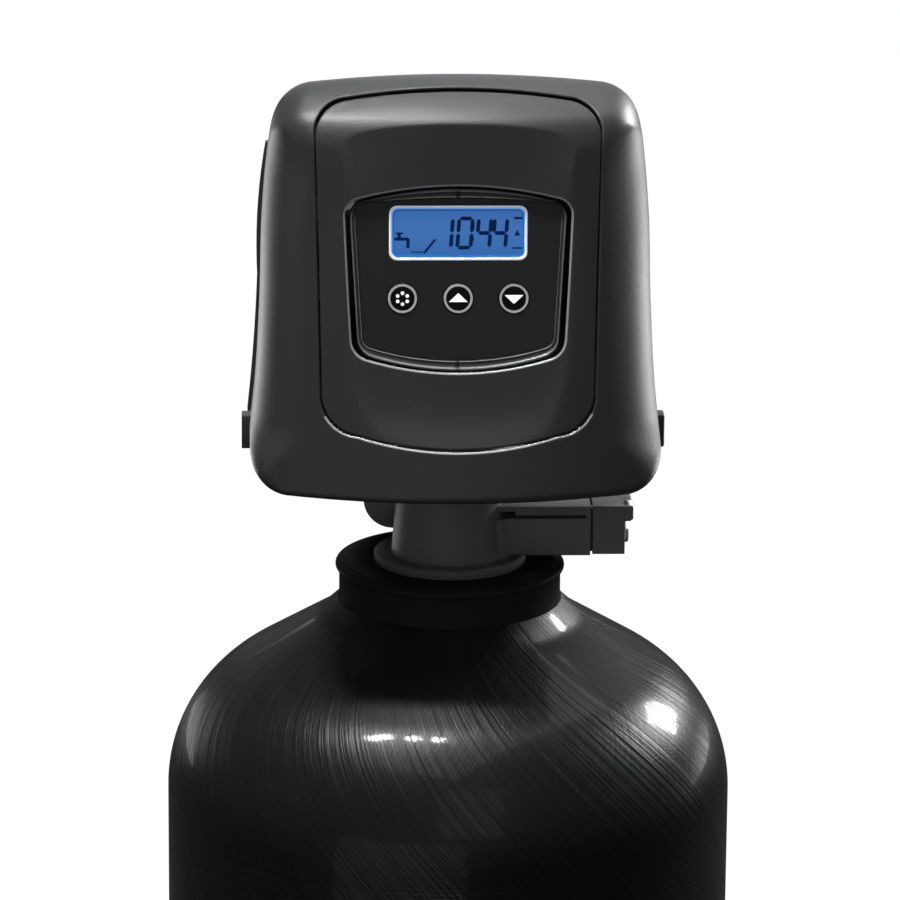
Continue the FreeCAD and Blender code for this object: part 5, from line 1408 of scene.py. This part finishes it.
@dataclass
class Tank:
    """The wound tank with its neck ring and moulded foot, all turned about the Z axis."""

    radius: float = TANK_RADIUS
    floor: float = 10.0
    slope: float = math.radians(31.4)
    knuckle: float = 70.0
    collar: float = 50.7
    collar_height: float = 17.8
    build_up: float = 59.6
    build_up_slope: float = math.radians(43.0)
    disc: float = 52.0
    disc_height: float = 4.3
    base_radius: float = 135.0
    base_height: float = 108.0
    side_low: float = 160.0
    around: int = 320

    def built(self, profile: Array, name: str, finish: Paint, node: str) -> Piece:
        """The piece that a closed profile of radii and heights makes when turned."""
        skin = Skin()
        skin.grid(turned(profile, self.around), around=True)
        return settle(skin.piece(name, finish, up=0.0), Body.FILTER, finish, node)

    def shell(self) -> Piece:
        """The outer shell: a straight side between two domes.

        The top dome is a steep build-up of winding round the collar, a cone and an arc that
        runs into the side. The bottom dome is two arcs.
        """
        inner = self.radius - self.knuckle
        angle = np.linspace(self.slope, math.pi / 2, 40)
        arc_r, arc_z = inner + self.knuckle * np.sin(angle), self.knuckle * np.cos(angle)
        heap = (self.build_up - self.collar) * math.tan(self.build_up_slope)
        drop = self.collar_height + heap + (arc_r[0] - self.build_up) * math.tan(self.slope)
        shoulder = TANK_TOP - drop - arc_z[0]
        cone_r = np.concatenate([np.linspace(self.collar, self.build_up, 7)[:-1],
                                 np.linspace(self.build_up, arc_r[0], 14)[:-1]])
        steep = np.maximum(self.build_up - cone_r, 0.0)
        gentle = arc_r[0] - np.maximum(cone_r, self.build_up)
        cone_z = (shoulder + arc_z[0] + gentle * math.tan(self.slope)
                  + steep * math.tan(self.build_up_slope))
        side_z = np.linspace(shoulder, self.side_low, RUN_STEPS)
        crown = arc_r[0] / math.sin(self.slope)
        swing = np.linspace(self.slope, 0.0, 24)
        low = self.floor + crown * (1 - math.cos(self.slope)) + arc_z[0]
        rows = [np.stack([cone_r, cone_z], 1), np.stack([arc_r, shoulder + arc_z], 1),
                np.stack([np.full(RUN_STEPS, self.radius), side_z], 1)[1:],
                np.stack([arc_r, low - arc_z], 1)[::-1],
                np.stack([crown * np.sin(swing), self.floor + crown * (1 - np.cos(swing))], 1)[1:]]
        outer = np.concatenate(rows)[::-1]
        inside = np.array([(self.collar - 0.1, TANK_TOP - self.collar_height - 9.0)])
        return self.built(np.vstack([outer, inside]), "wound_shell", Paint.TANK, "tank_shell")

    def neck(self) -> Piece:
        """The neck ring: a short collar under a wide flange with a shallow step near its rim."""
        top, under = TANK_TOP, TANK_TOP - self.disc_height
        edge = np.linspace(-math.pi / 2, math.pi / 2, 9)
        rim_r = self.disc - 1.1 + 1.1 * np.cos(edge)
        rim_z = top - 1.9 + 1.5 * np.sin(edge) - 0.4
        profile = np.concatenate([
            np.array([(31.3, top - 34.0), (self.collar - 0.4, top - 34.0),
                      (self.collar - 0.4, under - 1.6), (self.collar + 0.1, under - 0.5),
                      (self.disc - 1.6, under)]),
            np.stack([rim_r, rim_z], 1),
            np.array([(self.disc - 4.2, top - 0.35), (self.disc - 4.6, top - 0.05),
                      (self.disc - 5.2, top), (34.2, top), (33.6, top - 0.3), (33.5, top - 3.0),
                      (31.3, top - 3.0), (31.3, top - 34.0)])])
        return self.built(profile, "neck_ring", Paint.NECK, "tank_neck")

    def foot(self) -> Piece:
        """The foot: a flared skirt with a rolled top edge, closed below."""
        inner = self.radius + 0.2
        top, lip = self.base_height, inner + 3.5
        roll = np.linspace(0.0, math.pi, 9)
        profile = np.concatenate([
            np.array([(0.0, 0.0), (self.base_radius - 1.5, 0.0), (self.base_radius, 1.5),
                      (self.base_radius, 12.0), (self.base_radius - 0.5, 14.5),
                      (lip + 0.3, 35.0), (lip, 38.0)]),
            np.stack([inner + 1.75 + 1.75 * np.cos(roll), top - 1.75 + 1.75 * np.sin(roll)], 1),
            np.array([(inner, 36.0), (self.base_radius - 3.5, 14.0), (self.base_radius - 3.5, 4.0),
                      (98.0, 4.0), (98.0, 20.0), (92.0, 18.0), (92.0, 4.0), (0.0, 4.0)])])
        return self.built(profile, "tank_foot", Paint.BASE, "tank_base")

    def build(self) -> None:
        """Makes every turned piece of the tank."""
        self.shell()
        self.neck()
        self.foot()


@dataclass
class Plumbing:
    """The valve body and what screws and clips on to it, with edges rounded in millimetres."""

    edges: tuple[tuple[Paint, float, str], ...] = (
        (Paint.VALVE, 0.5, "valve_body drain_elbow inlet_adapter outlet_adapter"),
        (Paint.VALVE, 0.35, "injector_cap"),
        (Paint.VALVE, 0.4, "end_plug"),
        (Paint.VALVE, 0.6, "bypass_body bypass_knob"),
        (Paint.STEEL, 0.2, "drain_clip"),
        (Paint.STEEL, 0.3, "coupling_clip body_screws plate_screws"),
        (Paint.PLATE, 0.4, "drive_plate"),
        (Paint.GEAR, 0.6, "motor_gearbox"),
        (Paint.MOTOR, 0.5, "drive_motor"),
        (Paint.COVER, 0.8, "rear_cover"))

    def build(self) -> None:
        """Makes every softened piece."""
        for finish, edge, nodes in self.edges:
            for node in nodes.split():
                body = Body.BYPASS if node == "bypass_knob" else Body.FILTER
                softened(node, finish, body, edge)


INNER_FINISHES: dict[Paint, str] = {
    Paint.LINER: "tank_liner",
    Paint.PIPE: "riser_tube",
    Paint.BASKET: "bottom_distributor top_distributor",
    Paint.GRAVEL: "gravel_bed",
    Paint.MEDIA: "filter_media",
    Paint.RUBBER: "tank_o_ring piston_seals injector_gasket drain_flow_washer coupling_o_rings",
    Paint.STACK: "seal_spacers injector_plug bypass_couplings",
    Paint.PISTON: "piston",
    Paint.STEEL: "piston_rod gear_axle",
    Paint.GEAR: "piston_yoke motor_pinion drive_gear",
    Paint.PLATE: "position_cam display_posts",
    Paint.SWITCH: "position_switches button_switches",
    Paint.DISPLAY: "lcd_panel",
    Paint.LENS: "lcd_window",
    Paint.BOARD: "control_board",
    Paint.VALVE: "bypass_rotor",
}


def dress_frame() -> None:
    """Gives each of the frame's own pieces that keeps its shape its finish."""
    for finish, nodes in INNER_FINISHES.items():
        for node in nodes.split():
            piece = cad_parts[node]
            piece.data.materials.clear()
            piece.data.materials.append(finish.material())
            LOG.info("%s keeps its own shape", node)


# The studio


@dataclass
class Lamp:
    """A soft box: where it stands, what it looks at, its size, power and how wide it shines."""

    name: str
    place: tuple[float, float, float]
    aim: tuple[float, float, float]
    size: Point
    power: float
    spread: float = 180.0

    def build(self) -> None:
        """Makes the lamp."""
        light = bpy.data.lights.new(self.name, "AREA")
        light.shape, (light.size, light.size_y) = "RECTANGLE", self.size
        light.energy, light.spread = self.power, math.radians(self.spread)
        lamp = bpy.data.objects.new(self.name, light)
        lamp.location = self.place
        lamp.visible_camera = False
        look = Vector(self.aim) - Vector(self.place)
        lamp.rotation_euler = look.to_track_quat("-Z", "Y").to_euler()
        bpy.context.scene.collection.objects.link(lamp)


@dataclass
class Studio:
    """The pale floor, the soft boxes and the camera."""

    lamps: list[Lamp] = field(default_factory=lambda: [
        Lamp("top_box", (0.05, 0.1, 3.1), (0.0, 0.0, 1.5), (1.5, 3.0), 38.0),
        Lamp("back_box", (0.0, 2.6, 2.35), (0.0, 0.0, 1.6), (2.0, 0.9), 7.5),
        Lamp("front_box", (0.45, -3.4, 3.0), (0.0, 0.0, 1.45), (1.7, 2.4), 13.0),
        Lamp("low_fill", (-0.45, -1.2, 1.1), (0.0, -0.03, 1.42), (1.2, 0.6), 1.9),
        Lamp("right_box", (1.55, 1.15, 2.15), (0.09, -0.05, 1.33), (0.45, 0.5), 7.0, 60.0),
        Lamp("right_edge", (0.5, 0.3, 1.42), (0.08, -0.05, 1.6), (0.3, 0.3), 0.25, 50.0),
        Lamp("right_side", (0.557, -0.16, 1.57), (0.08, -0.05, 1.58), (0.3, 0.25), 0.03, 50.0),
        Lamp("left_edge", (-0.395, 0.39, 1.41), (-0.08, -0.05, 1.6), (0.25, 0.3), 0.12, 50.0),
        Lamp("left_side", (-0.557, -0.16, 1.57), (-0.08, -0.05, 1.58), (0.3, 0.25), 0.018, 50.0),
        Lamp("bulb_1", (-0.66, -0.14, 2.98), (-0.04, -0.09, 1.33), (0.11, 0.11), 1.1, 50.0),
        Lamp("bulb_2", (-0.54, -0.13, 3.03), (-0.03, -0.09, 1.33), (0.1, 0.1), 1.1, 50.0),
        Lamp("bulb_3", (-0.31, -0.21, 3.08), (-0.02, -0.1, 1.33), (0.1, 0.1), 1.1, 50.0),
        Lamp("bulb_4", (-0.1, -0.26, 3.12), (-0.01, -0.1, 1.33), (0.1, 0.1), 1.1, 50.0)])
    pitch: float = math.radians(16.05)
    swing: float = math.radians(-2.2)
    roll: float = math.radians(0.45)
    distance: float = 2.55
    aim_up: float = 1.435
    aim_across: float = -0.0003
    lens: float = 225.64
    sensor: float = 36.0
    floor_half: float = 40.0
    ambient: float = 0.1
    floor_tone: float = 0.15
    floor_patch: float = 900.0
    floor_drop: Point = (20.0, 0.1)
    white_near: float = 0.88
    white_from: Point = (0.7, 2.2)
    white_mirrored: float = 0.03

    def seen_white(self, tree: Tree) -> Value:
        """How white a ray finds the background.

        It is fully white from the camera and through clear pieces, and a small share in gloss.
        """
        path = tree.node("LightPath")
        camera, gloss, clear = (Value(tree, path.outputs[k]) for k in (
            "Is Camera Ray", "Is Glossy Ray", "Is Transmission Ray"))
        return tree.math("MAXIMUM", tree.math("MAXIMUM", camera, clear),
                         gloss * self.white_mirrored)

    def floor(self) -> None:
        """The floor: its light and the white that is seen add up, so it keeps the shadow."""
        half = self.floor_half / MM
        low, high = self.floor_drop
        skin = Skin()
        skin.plate(np.array([(-half, -half), (half, -half), (half, half), (-half, half)]),
                   -low, -high, lambda p: p)
        tree = Tree("studio_floor")
        place = tree.place()
        x, y, _ = tree.parts(place)
        pale = tree.ramp(tree.math("SQRT", x * x + y * y), *self.white_from, self.white_near)
        grain = tree.noise(place, self.floor_patch)
        tone = tree.mixed(grain, (self.floor_tone,) * 3, (self.floor_tone * 1.05,) * 3)
        plain = tree.value("BsdfDiffuse", inputs={"Color": tone})
        white = tree.value("Emission", inputs={"Color": tree.mixed(pale, (0.0,) * 3, (1.0,) * 3),
                                               "Strength": self.seen_white(tree)})
        both = tree.value("AddShader", inputs={0: plain, 1: white})
        tree.node("OutputMaterial", inputs={"Surface": both})
        mesh = bpy.data.meshes.new("studio_floor")
        mesh.from_pydata((np.concatenate(skin.points) * MM).tolist(), [], skin.faces)
        mesh.materials.append(tree.material)
        floor = bpy.data.objects.new("studio_floor", mesh)
        bpy.context.scene.collection.objects.link(floor)

    def surroundings(self) -> None:
        """A dim even sky that looks white to the camera."""
        world = bpy.data.worlds.new("studio")
        tree = Tree.of_world(world)
        white = (1.0, 1.0, 1.0, 1.0)
        sky, seen = (tree.value("Background", inputs={"Color": white, "Strength": strength})
                     for strength in (self.ambient, 1.0))
        mix = tree.value("MixShader", inputs={0: self.seen_white(tree), 1: sky, 2: seen})
        tree.node("OutputWorld", inputs={"Surface": mix})
        bpy.context.scene.world = world

    def camera(self) -> None:
        """The camera at the photograph's angle: pitched down, swung and rolled a little."""
        cos_pitch, cos_swing, sin_swing = (
            math.cos(self.pitch), math.cos(self.swing), math.sin(self.swing))
        back = Vector((sin_swing * cos_pitch, -cos_swing * cos_pitch, math.sin(self.pitch)))
        right = Vector((cos_swing, sin_swing, 0.0))
        up = back.cross(right)
        cos_roll, sin_roll = math.cos(self.roll), math.sin(self.roll)
        right, up = cos_roll * right + sin_roll * up, cos_roll * up - sin_roll * right
        aim = Vector((0.0, 0.0, self.aim_up)) + right * self.aim_across
        data = bpy.data.cameras.new("camera")
        data.lens, data.sensor_width, data.sensor_fit = self.lens, self.sensor, "HORIZONTAL"
        camera = bpy.data.objects.new("camera", data)
        camera.matrix_world = Matrix.Translation(aim + back * self.distance) @ Matrix(
            (right, up, back)).transposed().to_4x4()
        bpy.context.scene.collection.objects.link(camera)
        bpy.context.scene.camera = camera

    def build(self) -> None:
        """Makes the studio."""
        self.camera()
        self.floor()
        self.surroundings()
        for lamp in self.lamps:
            lamp.build()
        bpy.context.scene.view_settings.view_transform = "Standard"


def main() -> None:
    """Builds the pieces in order."""
    logging.basicConfig(level=logging.INFO, format="%(name)s: %(message)s")
    for assembly in (Tank(), Plumbing(), Cover(), DisplayModule()):
        assembly.build()
        LOG.info("%s is built", type(assembly).__name__)
    dress_frame()
    Studio().build()


if __name__ == "__main__":
    main()
